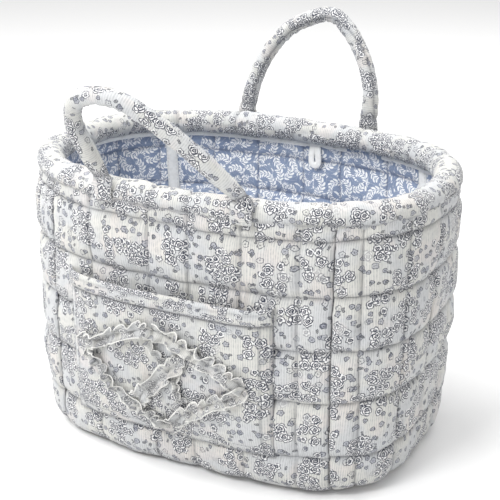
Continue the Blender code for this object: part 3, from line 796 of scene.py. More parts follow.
# %% Lining panels
for number, panel in enumerate(PANELS):
    points, place, lines, crease = wall_panel(panel, WALL - 0.0004, True, 0.0019, 0.0032, 11 * number + 5)
    place = place + np.array([0.23 * number + 0.5, 0.13 * number])
    piece = grid_piece(
        f"{panel}_lining_cloth", points, place, lining_cotton, flip=panel in ("right", "front"), crease=crease
    )
    thick(piece, 0.0012)
    on_bag(piece, "blue_sprig_lining", f"{panel}_lining")
    width = float(place[-1, 50, 0] - place[0, 50, 0])
    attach(line_stitches(f"{panel}_lining_quilting", points, *lines, True, thread_blue), "bag")
    print(panel, "lining is", round(width, 3), "m wide and", round(FACE, 3), "m high")


# %% [markdown]
# ## The base
# The base is a quilted piece too, flat where it stands. A square grid is drawn onto the oval plan: the
# larger of |p| and |q| says which ring a point is on, so there is no pole in the middle.


# %% Base, outside and inside
BASE_CELL = 0.0425  # from line to line of the base's quilting, both ways


def base_grid(count, depth, inside, puff, seed):
    """Square grid on the oval foot. Rows of cells are 43 mm; the outside is pressed flat where it stands."""
    p, q = np.meshgrid(np.linspace(-1, 1, count), np.linspace(-1, 1, count), indexing="ij")
    ring = np.maximum(np.abs(p), np.abs(q))
    x, y = around(
        np.arctan2(q * FOOT[1], p * FOOT[0]), FOOT[0] - EDGE + 0.0012, FOOT[1] - EDGE + 0.0012, FOOT[2]
    )
    x, y = x * ring, y * ring
    near = [np.abs((w / BASE_CELL + 0.5) % 1 - 0.5) * BASE_CELL for w in (x, y)]
    cell = (1 - np.exp(-near[0] / 0.005)) * (1 - np.exp(-near[1] / 0.005)) * (1 - ring**12)
    rough = (
        0.0004 * wander(x, y, 0.006, seed) * np.exp(-np.minimum(*near) / 0.006)
        + 0.0004 * wander(x, y, 0.03, seed)
    )
    z = depth + puff * cell + np.abs(rough) if inside else depth + 0.0022 - 0.0018 * cell + np.abs(rough) * 0.3
    return together(x, y, np.maximum(z, 0.0002)), together(x, y)


points, place = base_grid(120, 0.0, False, 0.002, 71)
base_outside = thick(grid_piece("base_quilt", points, place + (2.0, 1.0), floral, flip=True), 0.002)
on_bag(base_outside, "floral_cotton", "base_outer", "base_wadding")
points, place = base_grid(110, WALL - 0.0005, True, 0.0022, 77)
base_inside = thick(grid_piece("base_lining_cloth", points, place + (1.3, 0.4), lining_cotton), 0.0012)
on_bag(base_inside, "blue_sprig_lining", "base_lining")
length, width = (float(reach) for reach in 2 * (FOOT[:2] - EDGE))
print("the base is", round(length, 3), "by", round(width, 3), "m inside")


# %% [markdown]
# ## The roll round the mouth
# A strip of the floral cotton is wrapped round wadding and sewn down outside and inside. It is a closed
# tube whose section is an oval, carried round the mouth. Cross seams and puckers pull it in.


# %% Mouth line
def mouth_line(count):
    """Places round the wall's face at the seam, evenly spaced, with directions inwards and distances along."""
    angles = np.linspace(-np.pi, np.pi, 2881)
    x, y = around(angles, *MOUTH)
    line = np.stack([x, y], axis=1)
    along = apart(line)
    even = np.linspace(0, along[-1], count, endpoint=False)
    place = at_distances(even, along, line)
    tangent = np.roll(place, -1, axis=0) - np.roll(place, 1, axis=0)
    inward = np.stack([-tangent[:, 1], tangent[:, 0]], axis=1)
    return place, inward / np.linalg.norm(inward, axis=1, keepdims=True), even, along[-1]


place_xy, inward_xy, mouth_along, mouth_total = mouth_line(760)
print("mouth is", round(mouth_total, 3), "m round")


def mouth_arc(x, side):
    """Distance along the mouth line of the place at x on the front (-1) or back (+1)."""
    near = np.where(np.sign(place_xy[:, 1]) == side, np.abs(place_xy[:, 0] - x), 9.0)
    return mouth_along[np.argmin(near)]


def roll_points(angle, grow):
    """Points of the roll's skin: an oval of half sizes ROLL_HALF + grow, at 180 degrees on the outer side."""
    inwards = ROLL_IN + (ROLL_HALF[0] + grow) * np.cos(angle)
    z = SEAM + ROLL_UP + (ROLL_HALF[1] + grow) * np.sin(angle)
    xy = place_xy[:, None] + inward_xy[:, None] * inwards[..., None]
    return np.concatenate([xy, z[..., None]], axis=-1)


# %% Roll
ROLL_SEAMS = [mouth_arc(x, -1) for x in (-0.093, -0.018, 0.013, 0.118)]
ROLL_SEAMS += [mouth_arc(x, 1) for x in (0.118, 0.062, -0.004, -0.061, -0.118)]
OUTER_SEAM, INNER_SEAM = math.radians(207), math.radians(-82)  # places round the roll's section
SKIN_RADIUS = 0.0108  # the section's mean radius, which sets how the print runs round it
turn = np.linspace(0, 2 * np.pi, 48, endpoint=False)[None, :]
along = mouth_along[:, None]
gap = np.abs(
    (along[..., None] - np.array(ROLL_SEAMS) + mouth_total / 2) % mouth_total - mouth_total / 2
).min(axis=-1)
low_seam = np.minimum(*(
    np.abs((turn - seam + np.pi) % (2 * np.pi) - np.pi) * ROLL_HALF[0] for seam in (OUTER_SEAM, INNER_SEAM)
))
lap = along / mouth_total * 2 * np.pi  # a circle in the noise brings it back to where it starts
loop_wander = wander(np.cos(lap) * 0.14, np.sin(lap) * 0.14 + turn * 0.004, 0.014, 41)
grow = (
    0.0010 * loop_wander
    - 0.0016 * fade(gap, 0.0022) * (0.6 + 0.4 * np.sin(turn + 0.4))
    - 0.0014 * fade(low_seam, 0.0022)
    + 0.0007 * wander(along, turn * 0.0025, 0.0048, 43) * fade(low_seam, 0.0055)
    + 0.0005 * wander(along, turn * 0.011, 0.009, 44)
)
points = roll_points(turn, grow)
skin_u = np.concatenate([mouth_along, [mouth_total]])[:, None] * np.ones((1, 49))
skin_v = np.linspace(0, 2 * np.pi, 49)[None, :] * SKIN_RADIUS * np.ones((761, 1))
place = together(skin_u, skin_v + 0.07)
# Painted shade for the material: in the cross seams and along the sewn seams of the roll.
crease = fade(gap, 0.0012) * 0.55 + fade(low_seam, 0.0016) * 0.9
roll = grid_piece("rim_roll", points, place, floral, ring_u=True, ring_v=True, crease=crease)
on_bag(roll, "floral_cotton", "rim_roll_cover", "rim_roll_cord")
print("the roll has", len(ROLL_SEAMS), "cross seams and", len(roll.data.polygons), "faces")


# %% Stitches along the roll's outer seam
SEWN_AT = math.radians(203)  # round the section
SINK = -0.0009  # how far the thread lies below the skin
ROLL_PITCH, ROLL_STITCH = 0.0052, 0.0030  # from stitch to stitch, and a stitch's own length
starts = np.arange(0, mouth_total, ROLL_PITCH)
starts = starts + 0.0005 * np.random.default_rng(3).uniform(-1, 1, len(starts))
ends = []
for distance in (starts, starts + ROLL_STITCH):
    xy, inward = (at_distances(distance % mouth_total, mouth_along, a) for a in (place_xy, inward_xy))
    inwards = ROLL_IN + (ROLL_HALF[0] + SINK) * math.cos(SEWN_AT)
    z = np.full(len(distance), SEAM + ROLL_UP + (ROLL_HALF[1] + SINK) * math.sin(SEWN_AT))
    ends.append(np.column_stack([xy + inward * inwards, z]))
up = np.column_stack([inward * math.cos(SEWN_AT), np.full(len(starts), math.sin(SEWN_AT))])
whole = np.linalg.norm(ends[1] - ends[0], axis=1) < 2 * ROLL_STITCH  # not the one across the line's two ends
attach(stitches("roll_seam_stitches", ends[0][whole], ends[1][whole], up[whole], 0.0005, thread_grey), "bag")
print(int(whole.sum()), "stitches along the roll")

# %% [markdown]
# ## The handles
# A handle is a stuffed tube. Its two ends are pressed flat and sewn over the outside of the roll, and that
# is where it folds when it swings. One skin runs from seam to seam.


# %% Tube along a line
def smooth_line(points, count):
    """Evenly spaced points of a Catmull-Rom curve: 0.5 (2b + (c-a)t + (2a-5b+4c-d)t^2 + (3b-3c+d-a)t^3)."""
    p = np.asarray(points, float)
    p = np.vstack([2 * p[0] - p[1], p, 2 * p[-1] - p[-2]])
    a, b, c, d = (p[k : len(p) - 3 + k][:, None] for k in range(4))
    t = np.linspace(0, 1, 32, endpoint=False)[None, :, None]
    runs = 0.5 * (2 * b + (c - a) * t + (2 * a - 5 * b + 4 * c - d) * t**2 + (3 * b - 3 * c + d - a) * t**3)
    line = np.vstack([runs.reshape(-1, p.shape[1]), p[-2:-1]])
    along = apart(line)
    even = np.linspace(0, along[-1], count)
    return at_distances(even, along, line)


def unit(vectors):
    return vectors / (np.linalg.norm(vectors, axis=-1, keepdims=True) + 1e-12)


HANDLES = {
    "front": {
        "side": -1, "rise": 0.080, "lean": math.radians(27), "seed": 101, "seam": (262, 262),
        "line": [
            (-1.0, 0.0), (-1.07, 0.33), (-1.09, 0.66), (-0.90, 0.92), (-0.47, 1.0), (-0.06, 0.88),
            (0.44, 0.54), (0.77, 0.24), (1.0, 0.0),
        ],
    },
    "back": {
        "side": 1, "rise": 0.086, "lean": math.radians(15), "seed": 131, "seam": (318, 222),
        "line": [
            (-1.0, 0.0), (-0.85, 0.44), (-0.46, 0.82), (0.14, 1.0), (0.49, 0.88), (0.80, 0.60), (0.97, 0.29),
            (1.0, 0.0),
        ],
    },
}
foot_y = float(across(FOOT_X, *MOUTH))
pivot_z = SEAM + ROLL_UP + PIVOT_UP
TUBE = 0.0071  # half the thickness of a stuffed tube
FLAT_THICK, FLAT_WIDE = 0.0021, 0.0088  # the same of its flat ends, across and along the mouth
CORD_START = 0.0205  # from the end of the skin to where the stuffing starts
BEND_FULL = 25  # 1/m: a bend this tight wrinkles fully
print("handles swing about a line", round(pivot_z, 4), "m up and", round(foot_y + PIVOT_OUT, 4), "m out")


def handle_tube(handle, stations=230, corners=44):
    """Rings of the tube: the line goes up over the roll, along the handle and down again. Flat oval ends
    become a circle over 26 mm, and the skin wrinkles across the inside of each bend."""
    side, lean = handle["side"], handle["lean"]
    pivot = np.array([0.0, side * (foot_y + PIVOT_OUT), pivot_z])
    up = np.array([0.0, side * math.sin(lean), math.cos(lean)])
    upper = np.array(handle["line"]) * (FOOT_X, handle["rise"])
    upper = pivot + upper[:, :1] * np.array([1.0, 0, 0]) + upper[:, 1:] * up
    low = np.array([[0.0036, SEAM - 0.0005], [0.0043, SEAM + 0.005], [0.0037, SEAM + 0.011]])  # (out, up)
    leg = np.column_stack([np.zeros(3), side * (foot_y + low[:, 0]), low[:, 1]])
    line = smooth_line(np.vstack([leg + (-FOOT_X, 0, 0), upper, (leg + (FOOT_X, 0, 0))[::-1]]), stations)
    along = apart(line)
    to_end = np.minimum(along, along[-1] - along)
    tangent = unit(np.gradient(line, axis=0))
    level = np.array([0.0, side, 0.0])
    over = np.array([0.0, side * math.cos(lean), -math.sin(lean)])
    share = ramp01((to_end - 0.010) / 0.014)[:, None]
    out = unit(level * (1 - share) + over * share)
    wide = unit(np.cross(out, tangent))
    out = unit(np.cross(tangent, wide))
    round_share = ramp01((to_end - 0.013) / 0.026)
    half_thick = FLAT_THICK + (TUBE - FLAT_THICK) * round_share
    half_wide = FLAT_WIDE + (TUBE - FLAT_WIDE) * round_share
    curve = np.gradient(tangent, axis=0) / np.gradient(along)[:, None]
    bend = np.linalg.norm(curve, axis=1)
    bend = np.convolve(np.pad(bend, 6, mode="edge"), np.ones(13) / 13, mode="valid")
    turn = np.linspace(0, 2 * np.pi, corners, endpoint=False)
    towards = np.einsum("ik,ik->i", unit(curve), wide)  # +1 where the inside of the bend is on the wide side
    inner = np.clip(np.cos(turn)[None] * towards[:, None], 0, 1)
    a, t = along[:, None], turn[None]
    crease = wander(a + 0.001 * np.cos(t), 0.0016 * t, 0.0052, handle["seed"])
    skin = 0.0004 * wander(a, 0.009 * np.cos(t), 0.016, handle["seed"] + 1) - 0.0003
    skin = skin + 0.00022 * wander(a + 0.002 * np.cos(t), 0.0012 * t, 0.0032, handle["seed"] + 3)
    skin = skin - 0.0016 * np.abs(crease) * inner**1.2 * np.clip(bend / BEND_FULL, 0.2, 1)[:, None]
    first, last = handle["seam"]  # the closing seam turns round the tube as it goes along
    seam_angle = np.radians(first + (last - first) * ramp01((along / along[-1] - 0.45) / 0.3))[:, None]
    seam = np.abs((t - seam_angle + np.pi) % (2 * np.pi) - np.pi) * TUBE
    skin = skin - 0.0011 * fade(seam, 0.0012)
    skin = skin + 0.00055 * wander(a, np.zeros_like(a), 0.0034, handle["seed"] + 2) * fade(seam, 0.0045)
    from_cord = np.abs(to_end[:, None] - CORD_START)
    skin = skin * (0.35 + 0.65 * round_share[:, None]) - 0.0010 * fade(from_cord, 0.0020)
    x = (half_wide[:, None] + skin) * np.cos(t)
    y = (half_thick[:, None] + skin) * np.sin(t)
    points = line[:, None] + wide[:, None] * x[..., None] + out[:, None] * y[..., None]
    place = together(along[:, None], np.linspace(0, 2 * np.pi, corners + 1)[None] * TUBE)
    fold = np.exp(-crease**2 / 0.02) * inner * np.clip(bend / BEND_FULL, 0, 1)[:, None]
    # Painted shade for the material: along the closing seam, in the wrinkles inside each bend, where the
    # stuffing starts and in a line just past it.
    crease = (0.95 + 0.3 * np.sin(a / 0.0004)) * fade(seam, 0.0011) + 0.45 * fold
    crease = crease + fade(from_cord, 0.0018) + 0.35 * fade(np.abs(to_end[:, None] - 0.0250), 0.0012)
    return points, place, crease, along[-1], pivot


# %% Both handles
# the cloth bends between these, from the pivot
# offsets below and above the pivot
BEND_FROM, BEND_TO = np.array([0, 0, -0.003]), np.array([0, 0, 0.011])
STITCH = 0.0022
for name, handle in HANDLES.items():
    points, place, crease, tube_length, pivot = handle_tube(handle)
    print(name, "handle tube is", round(tube_length, 3), "m long")
    place = place + (0.9 + handle["seed"] * 0.01, 0.35)
    tube = grid_piece(
        f"{name}_handle_tube", points, place, floral, ring_v=True, caps=True, flip=True, crease=crease
    )
    tuple(pivot + BEND_FROM)
    tuple(pivot + BEND_TO)
    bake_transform(tube)
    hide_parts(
        *(f"{name}_handle_{part}" for part in ("cover", "cord", "left_sewn_end", "right_sewn_end"))
    )
    # a row of stitches across each flat end
    face = handle["side"] * (foot_y + 0.0062)
    across_end = np.linspace(-0.0080, 0.0061, 5)
    starts = np.array([(foot + x, face, SEAM + 0.0009) for foot in (-FOOT_X, FOOT_X) for x in across_end])
    ups = np.tile([0.0, handle["side"], 0.0], (len(starts), 1))
    ends = starts + (0.0021, 0, 0)
    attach(stitches(f"{name}_handle_stitches", starts, ends, ups, 0.00045, thread_grey), "bag")

# %% [markdown]
# ## The pocket
# One piece of the cotton, sewn to the front along three sides. It stands a little off the wall and gapes at
# the top, where a hem is turned over and stitched down.


# %% Pocket
def front_point(x, z, out):
    """A point in front of the front wall, `out` metres outside its face."""
    a, b, n, _ = wall_rows(z - EDGE + EDGE * np.pi / 2, 0.0)
    return together(x, -across(x, a + out, b + out, n), z)


def pocket_out(x, z):
    """How far the pocket's face is off the wall: low at its sewn edges, high in the middle and at the mouth,
    with soft waves."""
    u = np.clip(np.abs(x - POCKET["x"]) / (POCKET["width"] / 2), 0, 1)
    v = np.clip((z - POCKET["bottom"]) / POCKET["height"], 0, 1)
    rise = POCKET["standoff"] * (1 - u**12) * (1 - (1 - v) ** 9)
    waves = 0.0009 * wander(x, z, 0.034, 211) + 0.0004 * wander(x, z, 0.013, 212)
    puckers = 0.0005 * wander(z, 0 * z, 0.005, 213) * np.exp(-(1 - u) * POCKET["width"] / 2 / 0.006)
    puckers = puckers + 0.0005 * wander(x, 0 * x, 0.005, 214) * np.exp(-v * POCKET["height"] / 0.006)
    return 0.0017 + rise + waves * (1 - u**8) * (1 - (1 - v) ** 8) + puckers * (1 - u**20)


left, right = POCKET["x"] - POCKET["width"] / 2, POCKET["x"] + POCKET["width"] / 2
top = POCKET["bottom"] + POCKET["height"]
across_share = np.sin(np.linspace(-np.pi / 2, np.pi / 2, 150)) * 0.35 + np.linspace(-1, 1, 150) * 0.65
x, z = np.meshgrid(
    POCKET["x"] + across_share * POCKET["width"] / 2, np.linspace(POCKET["bottom"], top, 104), indexing="ij"
)
face = front_point(x, z, pocket_out(x, z))
rim = POCKET["width"] / 2 - np.abs(x - POCKET["x"])
# Painted shade for the material: along the sewn sides, along the inner rows of stitches, at the foot and under
# the hem.
crease = (
    1.2 * fade(rim, 0.0011) + 0.5 * fade(np.abs(rim - 0.008), 0.0010)
    + 0.9 * np.exp(-(z - POCKET["bottom"]) / 0.0012)
)
crease = crease + 1.1 * fade(np.abs(z - (top - 0.0116)), 0.0014)
pocket = thick(
    grid_piece("patch_pocket", face, together(x + 0.713, z + 0.431), floral, crease=crease), 0.0012
)
on_bag(pocket, "floral_cotton", "pocket_panel")
print("the pocket is", POCKET["width"], "by", POCKET["height"], "m, its mouth at", round(top, 3), "m")

# %% Hem of the pocket
HEM, FACE_SHARE = 0.0108, 0.72  # height of the hem, and the share of its grid in front of the mouth
x, turn = np.meshgrid(
    POCKET["x"] + across_share * (POCKET["width"] / 2 + 0.0004), np.linspace(0, 1, 15), indexing="ij"
)
drop = np.clip(turn / FACE_SHARE, 0, 1)
over = (turn - FACE_SHARE) / (1 - FACE_SHARE)
z = top - HEM * (1 - drop) + 0.0009 * np.sin(np.clip(over, 0, 1) * np.pi)
back_turn = ramp01(over)
out = pocket_out(x, np.minimum(z, top)) + 0.0014 * (1 - back_turn) - 0.0016 * back_turn
out = out + 0.0011 * np.sin(np.clip(drop, 0, 1) * np.pi) ** 0.7 + 0.0006 * wander(x, z, 0.007, 221)
fold = ramp01((x - right + 0.010) / 0.006)  # the hem's right end is not tucked in, and stands up
z = z + 0.0022 * fold * drop
out = out + 0.0019 * fold * np.sin(np.clip(turn, 0, 1) * np.pi)
place = together(x + 0.213, z + 0.931 + turn * 0.01)
# Painted shade for the material: along the hem's lower edge and in a line near its top.
crease = 0.9 * np.exp(-drop * HEM / 0.0008)
crease = crease + 0.7 * fade(np.abs(drop * HEM - 0.0082), 0.0007) * (turn < FACE_SHARE)
hem = grid_piece("pocket_hem_band", front_point(x, z, out), place, floral, crease=crease)
on_bag(thick(hem, 0.0008), "floral_cotton", "pocket_hem")
print("the hem is", HEM, "m high")


# %% Stitches of the pocket
def pocket_row(x0, z0, x1, z1, lift, pitch=0.0033, length=0.0023):
    """A straight row of stitches on the pocket's face from one place to another."""
    total = math.hypot(x1 - x0, z1 - z0)
    t = np.arange(0.001, total - length, pitch)
    ends = []
    for d in (t, t + length):
        x, z = x0 + (x1 - x0) * d / total, z0 + (z1 - z0) * d / total
        ends.append(front_point(x, z, pocket_out(x, z) + lift))
    up = np.tile([[0.0, -1.0, 0.0]], (len(t), 1)) + np.column_stack([x * 1.2, 0 * x, 0 * x])
    return ends[0], ends[1], unit(up)


low = POCKET["bottom"]
rows = [pocket_row(left + 0.002, top - HEM + 0.0012, right - 0.002, top - HEM + 0.0012, 0.0013)]
for side, edge in ((-1, right), (1, left)):  # two rows up each side: one well in, one at the edge
    rows.append(pocket_row(edge + side * 0.0080, low + 0.002, edge + side * 0.0080, top - HEM, 0.0002))
    rows.append(pocket_row(edge + side * 0.0016, low + 0.002, edge + side * 0.0016, top - 0.001, 0.0006))
for height in (0.0018, 0.0075):  # two rows along the bottom
    rows.append(pocket_row(left + 0.002, low + height, right - 0.002, low + height, 0.0003))
pocket_thread = stitches(
    "pocket_stitches", *(np.vstack(arrays) for arrays in zip(*rows)), 0.0005, thread_grey
)
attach(pocket_thread, "bag")
print(len(rows), "rows of stitches")

# %% [markdown]
# ## The ruffle bow
# The bow on the pocket is drawn with gathered strips. Each is stitched down along its middle, and its raw
# edges stand up and wave. The height over the pocket is |w|^1.1 times a wave whose phase wanders, w being
# the place across the strip.


# %% Ruffles
def stacked(rows):
    """Rows of (starts, ends, ...) arrays put together into one array of each."""
    return [np.vstack(arrays) for arrays in zip(*rows)]


GATHER_STRETCH = 1.45  # the print runs this much faster along a strip, as its cloth is gathered
SPREAD_STRETCH = 1.15  # a strip's flat width over its width as it lies
FRAYED_EVERY, NARROWEST = 0.0008, 0.0101
HAIR_SHORT, HAIR_LONG = 0.0006, 0.0019


def ruffle(name, line, width, lift, seed, wave=0.0175, lean=0.0):
    """A gathered strip along a line (x, z) on the pocket's face, with where its stitches start, end and
    point, and where its frayed threads start and end."""
    count = max(24, int(np.linalg.norm(np.diff(np.array(line), axis=0), axis=1).sum() / 0.0009))
    middle = smooth_line(line, count)
    along = apart(middle)[:, None]
    tangent = unit(np.gradient(middle, axis=0))
    w = (np.linspace(-1, 1, 23) * (0.45 + 0.55 * np.abs(np.linspace(-1, 1, 23))))[None, :]
    hand = np.where(w > 0, 1.0, 0.0)
    phase = 2 * np.pi * (along / wave + 1.35 * wander(along, hand * 0.5, 0.015, seed))
    phase = phase + hand * 2.1
    rise = (
        np.abs(w) ** 1.1 * lift * (0.70 + 0.42 * np.sin(phase) + 0.46 * wander(along, hand, 0.0052, seed + 7))
        + lean * w * 0.5 * lift
    )
    gather = 0.00035 * np.sin(2 * np.pi * along / 0.0031 + 3 * wander(along, 0, 0.007, seed + 1))
    gather = gather * fade(np.abs(w), 0.35)
    spread = (
        w * width / 2 * (1 - 0.42 * w**2 * (0.5 + 0.5 * np.sin(phase)))
        + 0.0007 * wander(along, w * 0.02, 0.006, seed + 2)
    )
    slip = 0.0016 * np.abs(w) ** 2 * np.cos(phase)
    x = middle[:, :1] + tangent[:, 1:] * spread + tangent[:, :1] * slip
    z = middle[:, 1:] - tangent[:, :1] * spread + tangent[:, 1:] * slip
    out = pocket_out(x, z) + 0.0006 + np.maximum(rise, 0) + gather
    points = front_point(x, z, out)
    cloth = along * GATHER_STRETCH + seed * 0.037, w * width / 2 * SPREAD_STRETCH + seed * 0.021
    place = together(*cloth)
    # Painted shade and shadow for the material: along the stitched middle, under each standing edge and in the
    # valleys of the waves.
    sewn_line_shade = np.exp(-np.abs(w) * width / 2 / 0.0010)
    shadow_under_edge = np.exp(-np.abs(np.abs(w) - 0.70) * width / 2 / 0.0008) * (0.6 + 0.4 * np.sin(phase))
    valley = fade(1 + np.sin(phase + 0.5), 0.05) * np.clip(1.1 - np.abs(w), 0, 1)
    crease = sewn_line_shade + 0.85 * shadow_under_edge + 0.6 * valley
    piece = thick(grid_piece(name, points, place, ruffle_cotton, edge=np.abs(w), crease=crease), 0.0006)
    length = float(along[-1, 0])
    steps = np.arange(0.001, length - 0.003, 0.0036)
    sewn = [at_distances(d, along[:, 0], points[:, points.shape[1] // 2]) for d in (steps, steps + STITCH)]
    up = np.tile([[0.0, -1.0, 0.0]], (len(steps), 1))
    rng = np.random.default_rng(seed + 5)
    hairs = []
    for column, inner in ((0, 1), (-1, -2)):  # the two raw edges, and the columns beside them
        at = rng.uniform(0, len(middle) - 1.001, int(length / FRAYED_EVERY))
        k = at.astype(int)
        root = points[k, column] + (points[k + 1, column] - points[k, column]) * (at - k)[:, None]
        away = unit(points[k, column] - points[k, inner])
        sway = rng.normal(0, 0.45, (len(k), 3))
        tip = root + unit(away + sway) * rng.uniform(HAIR_SHORT, HAIR_LONG, (len(k), 1))
        hairs.append((root - away * 0.0003, tip))
    return piece, (*sewn, up), stacked(hairs)


# the lines of the strips, as (x, z) on the pocket
BOW = {
    "upper_left": [
        (-0.078, 0.1018), (-0.066, 0.1065), (-0.050, 0.1140), (-0.034, 0.1205), (-0.020, 0.1262),
        (-0.0105, 0.1275),
    ],
    "upper_right": [
        (-0.0105, 0.1275), (0.002, 0.1245), (0.018, 0.1180), (0.034, 0.1100), (0.050, 0.1030),
        (0.0640, 0.0955),
    ],
    "lower_right": [
        (0.0640, 0.0945), (0.054, 0.0850), (0.039, 0.0760), (0.022, 0.0665), (0.008, 0.0560), (-0.001, 0.0455)
    ],
    "lower_left": [
        (-0.0775, 0.1000), (-0.066, 0.0900), (-0.054, 0.0770), (-0.042, 0.0660), (-0.024, 0.0545),
        (-0.003, 0.0455),
    ],
    "cross": [(0.0145, 0.1080), (0.003, 0.0985), (-0.009, 0.0860), (-0.020, 0.0745), (-0.028, 0.0640)],
}
# each strip's width, how high its edges stand, and how much higher one of them is
BOW_SIZES = {
    "upper_left": (0.0150, 0.0066, 0.0), "upper_right": (0.0155, 0.0068, 0.0),
    "lower_right": (0.0145, 0.0060, 0.0), "lower_left": (0.0095, 0.0070, 0.2), "cross": (0.0165, 0.0064, 0.0),
}
TIE_WIDTH, TIE_LIFT, TIE_WAVE = 0.0075, 0.0045, 0.007
TIES = {
    "bow_tie_upper": [(-0.017, 0.1170), (-0.012, 0.1110), (-0.006, 0.1050), (-0.005, 0.0990)],
    "bow_tie_lower": [(0.006, 0.0920), (0.008, 0.0850), (0.009, 0.0770), (0.013, 0.0710)],
}
print("the strips and ties:", len(BOW), "and", len(TIES))

# %% The bow
threads, hairs = [], []
for number, (key, line) in enumerate(BOW.items()):
    width, lift, lean = BOW_SIZES[key]
    piece, row, hair = ruffle(f"bow_strip_{key}", line, width, lift, 300 + 17 * number, lean=lean)
    on_bag(piece, "floral_cotton", f"bow_ruffle_{key}")
    length = float(np.linalg.norm(np.diff(np.array(line), axis=0), axis=1).sum())
    threads.append(row)
    hairs.append(hair)
for number, (key, line) in enumerate(TIES.items()):
    piece, row, hair = ruffle(f"{key}_strip", line, TIE_WIDTH, TIE_LIFT, 400 + 17 * number, wave=TIE_WAVE)
    on_bag(piece, "floral_cotton", key)
    threads.append(row)
    hairs.append(hair)
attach(stitches("bow_stitches", *stacked(threads), 0.0005, thread_pale, lift=0.0003), "bag")
root, tip = stacked(hairs)
outwards = np.tile([[0.0, -1.0, 0.0]], (len(root), 1))
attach(stitches("bow_frayed_threads", root, tip, outwards, 0.00016, thread_pale), "bag")
print(len(root), "frayed threads")

# %% [markdown]
# ## White tapes
# Tape covers the raw seams inside: down each corner, round the base and under the roll. Each lies a hair
# above the lining, follows the same plan curve, and ripples a little between its stitches.


# %% Corner tapes
def inner_point(x_side, y_side, across_tape, v, depth):
    """A point on the inside of a corner seam, `across_tape` metres round the plan from it."""
    a, b, n, z = wall_rows(v, -depth)
    seam_y = across(SEAM_X, a, b, n)
    angle = np.arctan2(seam_y, SEAM_X) + across_tape / np.hypot(SEAM_X, seam_y)
    x, y = around(angle, a, b, n)
    return together(x * x_side, y * y_side, z)


TAPE, TAPE_THICK = 0.0092, 0.0006
TAPE_ROW = 0.0034  # from the tape's middle to each of its two rows of stitches
CORNERS = {"front_left": (-1, -1), "front_right": (1, -1), "back_left": (-1, 1), "back_right": (1, 1)}
across_tape, up_tape = np.linspace(-TAPE / 2, TAPE / 2, 13), np.linspace(0.016, FACE - 0.0065, 110)
for number, (corner, (x_side, y_side)) in enumerate(CORNERS.items()):
    offset, v = np.meshgrid(across_tape, up_tape, indexing="ij")
    ripple = 0.0003 * wander(v, offset, 0.008, 500 + number) + 0.0003 * np.cos(offset / TAPE * 2 * np.pi)
    sway = 0.0006 * wander(v, 0 * v, 0.04, 510 + number)
    points = inner_point(x_side, y_side, offset + sway, v, WALL + 0.0009 + ripple)
    place = together(v, offset + number * 0.05)
    tape = grid_piece(f"{corner}_seam_tape", points, place, tape_white, flip=x_side * y_side > 0)
    on_bag(thick(tape, TAPE_THICK), "white_tape", f"{corner}_inner_binding")
    steps = np.arange(0.020, FACE - 0.012, 0.0034)
    rows = []
    for row in (-TAPE_ROW, TAPE_ROW):
        start, end = (
            inner_point(x_side, y_side, row + np.interp(d, v[0], sway[0]), d, WALL + 0.0012)
            for d in (steps, steps + STITCH)
        )
        rows.append((start, end, unit(-start * (1, 1, 0))))
    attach(stitches(f"{corner}_tape_stitches", *stacked(rows), 0.0004, thread_pale), "bag")
    print(corner, "tape has", 2 * len(steps), "stitches")

# %% Tape round the base and under the roll
turn, t = np.meshgrid(np.linspace(0, 2 * np.pi, 360, endpoint=False), np.linspace(-1, 1, 13), indexing="ij")
step = t * 0.0045
radius = EDGE - WALL - 0.0010
inset = EDGE - step
ripple = 0.0002 * wander(np.cos(turn) * 0.2, np.sin(turn) * 0.2 + step, 0.01, 520)
height = EDGE - np.sqrt(radius**2 - np.maximum(step, 0.0) ** 2) + 0.0006 + ripple
x, y = around(turn, FOOT[0] - inset, FOOT[1] - inset, FOOT[2])
BASE_ROUND = 0.84  # length of the base's outline
ring_length = np.linspace(0, BASE_ROUND, 361)[:, None] * np.ones((1, 13))
place = together(ring_length, np.vstack([step, step[:1]]))
base_tape = grid_piece("base_seam_tape", together(x, y, height), place, tape_white, ring_u=True, flip=True)
on_bag(thick(base_tape, TAPE_THICK), "white_tape", "base_inner_binding")

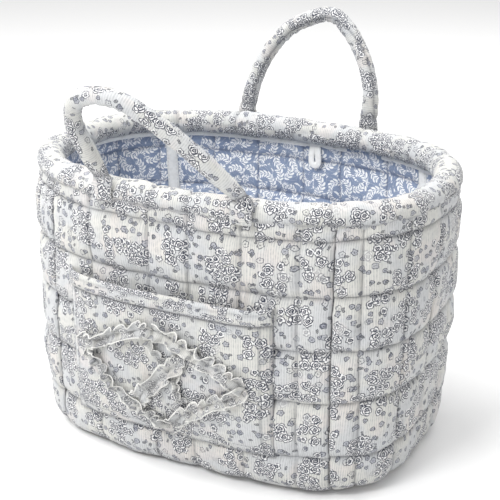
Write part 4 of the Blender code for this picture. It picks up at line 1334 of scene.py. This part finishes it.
RIM_TAPE = 0.0046  # how far it hangs down
t = np.linspace(0, 1, 9)[None, :]
top_tape = SEAM + ROLL_UP - ROLL_HALF[1] + 0.0012
inwards = (
    WALL + 0.0012 + 0.0005 * np.sin(t * np.pi) + 0.0003 * wander(mouth_along[:, None], t * 0.004, 0.01, 530)
)
xy = place_xy[:, None] + inward_xy[:, None] * inwards[..., None]
z = top_tape - t * RIM_TAPE + 0.0003 * wander(mouth_along[:, None], 0 * t, 0.02, 531)
place = together(np.append(mouth_along, mouth_total)[:, None], t * RIM_TAPE)
points = np.concatenate([xy, z[..., None]], axis=-1)
rim_tape = grid_piece("rim_seam_tape", points, place, tape_white, ring_u=True, flip=True)
on_bag(thick(rim_tape, TAPE_THICK), "white_tape", "rim_tape")
print("tape round the mouth:", round(float(mouth_total), 2), "m")

# %% [markdown]
# ## The ribbon loop
# The ribbon follows a narrow U. Its top stays in the seam and the rest swings.

# %% Ribbon loop
LOOP_X, LOOP_WIDTH, LOOP_LENGTH = 0.014, 0.0125, 0.020
RIBBON_HALF = LOOP_WIDTH * 0.21
low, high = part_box("ribbon_loop")
half = LOOP_WIDTH / 4
legs = [
    (-half * 0.85, high.z + 0.0035), (-half, high.z - 0.004), (-half * 1.15, high.z - 0.011),
    (-half * 0.95, low.z + 0.0050),
]
path = (
    legs + [(0.0, low.z + 0.0026)] + [(-x * (1.0 - 0.12 * k), z) for k, (x, z) in enumerate(reversed(legs))]
)
middle = smooth_line(path, 90)
tangent = unit(np.gradient(middle, axis=0))
w = np.linspace(-1, 1, 11)[None, :] * RIBBON_HALF
share = np.linspace(-1, 1, 90)[:, None]
x = LOOP_X + middle[:, :1] + tangent[:, 1:] * w
z = middle[:, 1:] - tangent[:, :1] * w
drop = np.clip((high.z - z) / LOOP_LENGTH, 0, 1)
bow_out = 0.0016 * np.sin(drop * np.pi) * (0.6 + 0.4 * share)
cup = 0.0007 * (w / RIBBON_HALF) ** 2 * np.sin(drop * np.pi)
fold = 0.0004 * wander(middle[:, 1:], w, 0.005, 540)
middle_y = (low.y + high.y) / 2
y = middle_y + 0.0003 - bow_out - 0.0009 * drop + cup + fold
place = together(w + 0.01, share * 0.02 + 0.02)
loop = thick(grid_piece("hanging_ribbon", together(x, y, z), place, ribbon_white), 0.0005)
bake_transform(loop)
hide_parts("ribbon_loop")
print("the loop hangs", round(1000 * (high.z - low.z), 1), "mm down")

# %% [markdown]
# ## The finished size
# The cloth may stand a little proud of the packed model's box; by how much is printed in mm.

# %% How far the cloth stands out of the packed model's box
new_low, new_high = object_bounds()
below = [round(1000 * (c - v), 1) for c, v in zip(cad_low, new_low)]
above = [round(1000 * (v - c), 1) for c, v in zip(cad_high, new_high)]
print("proud by mm:", below, above)
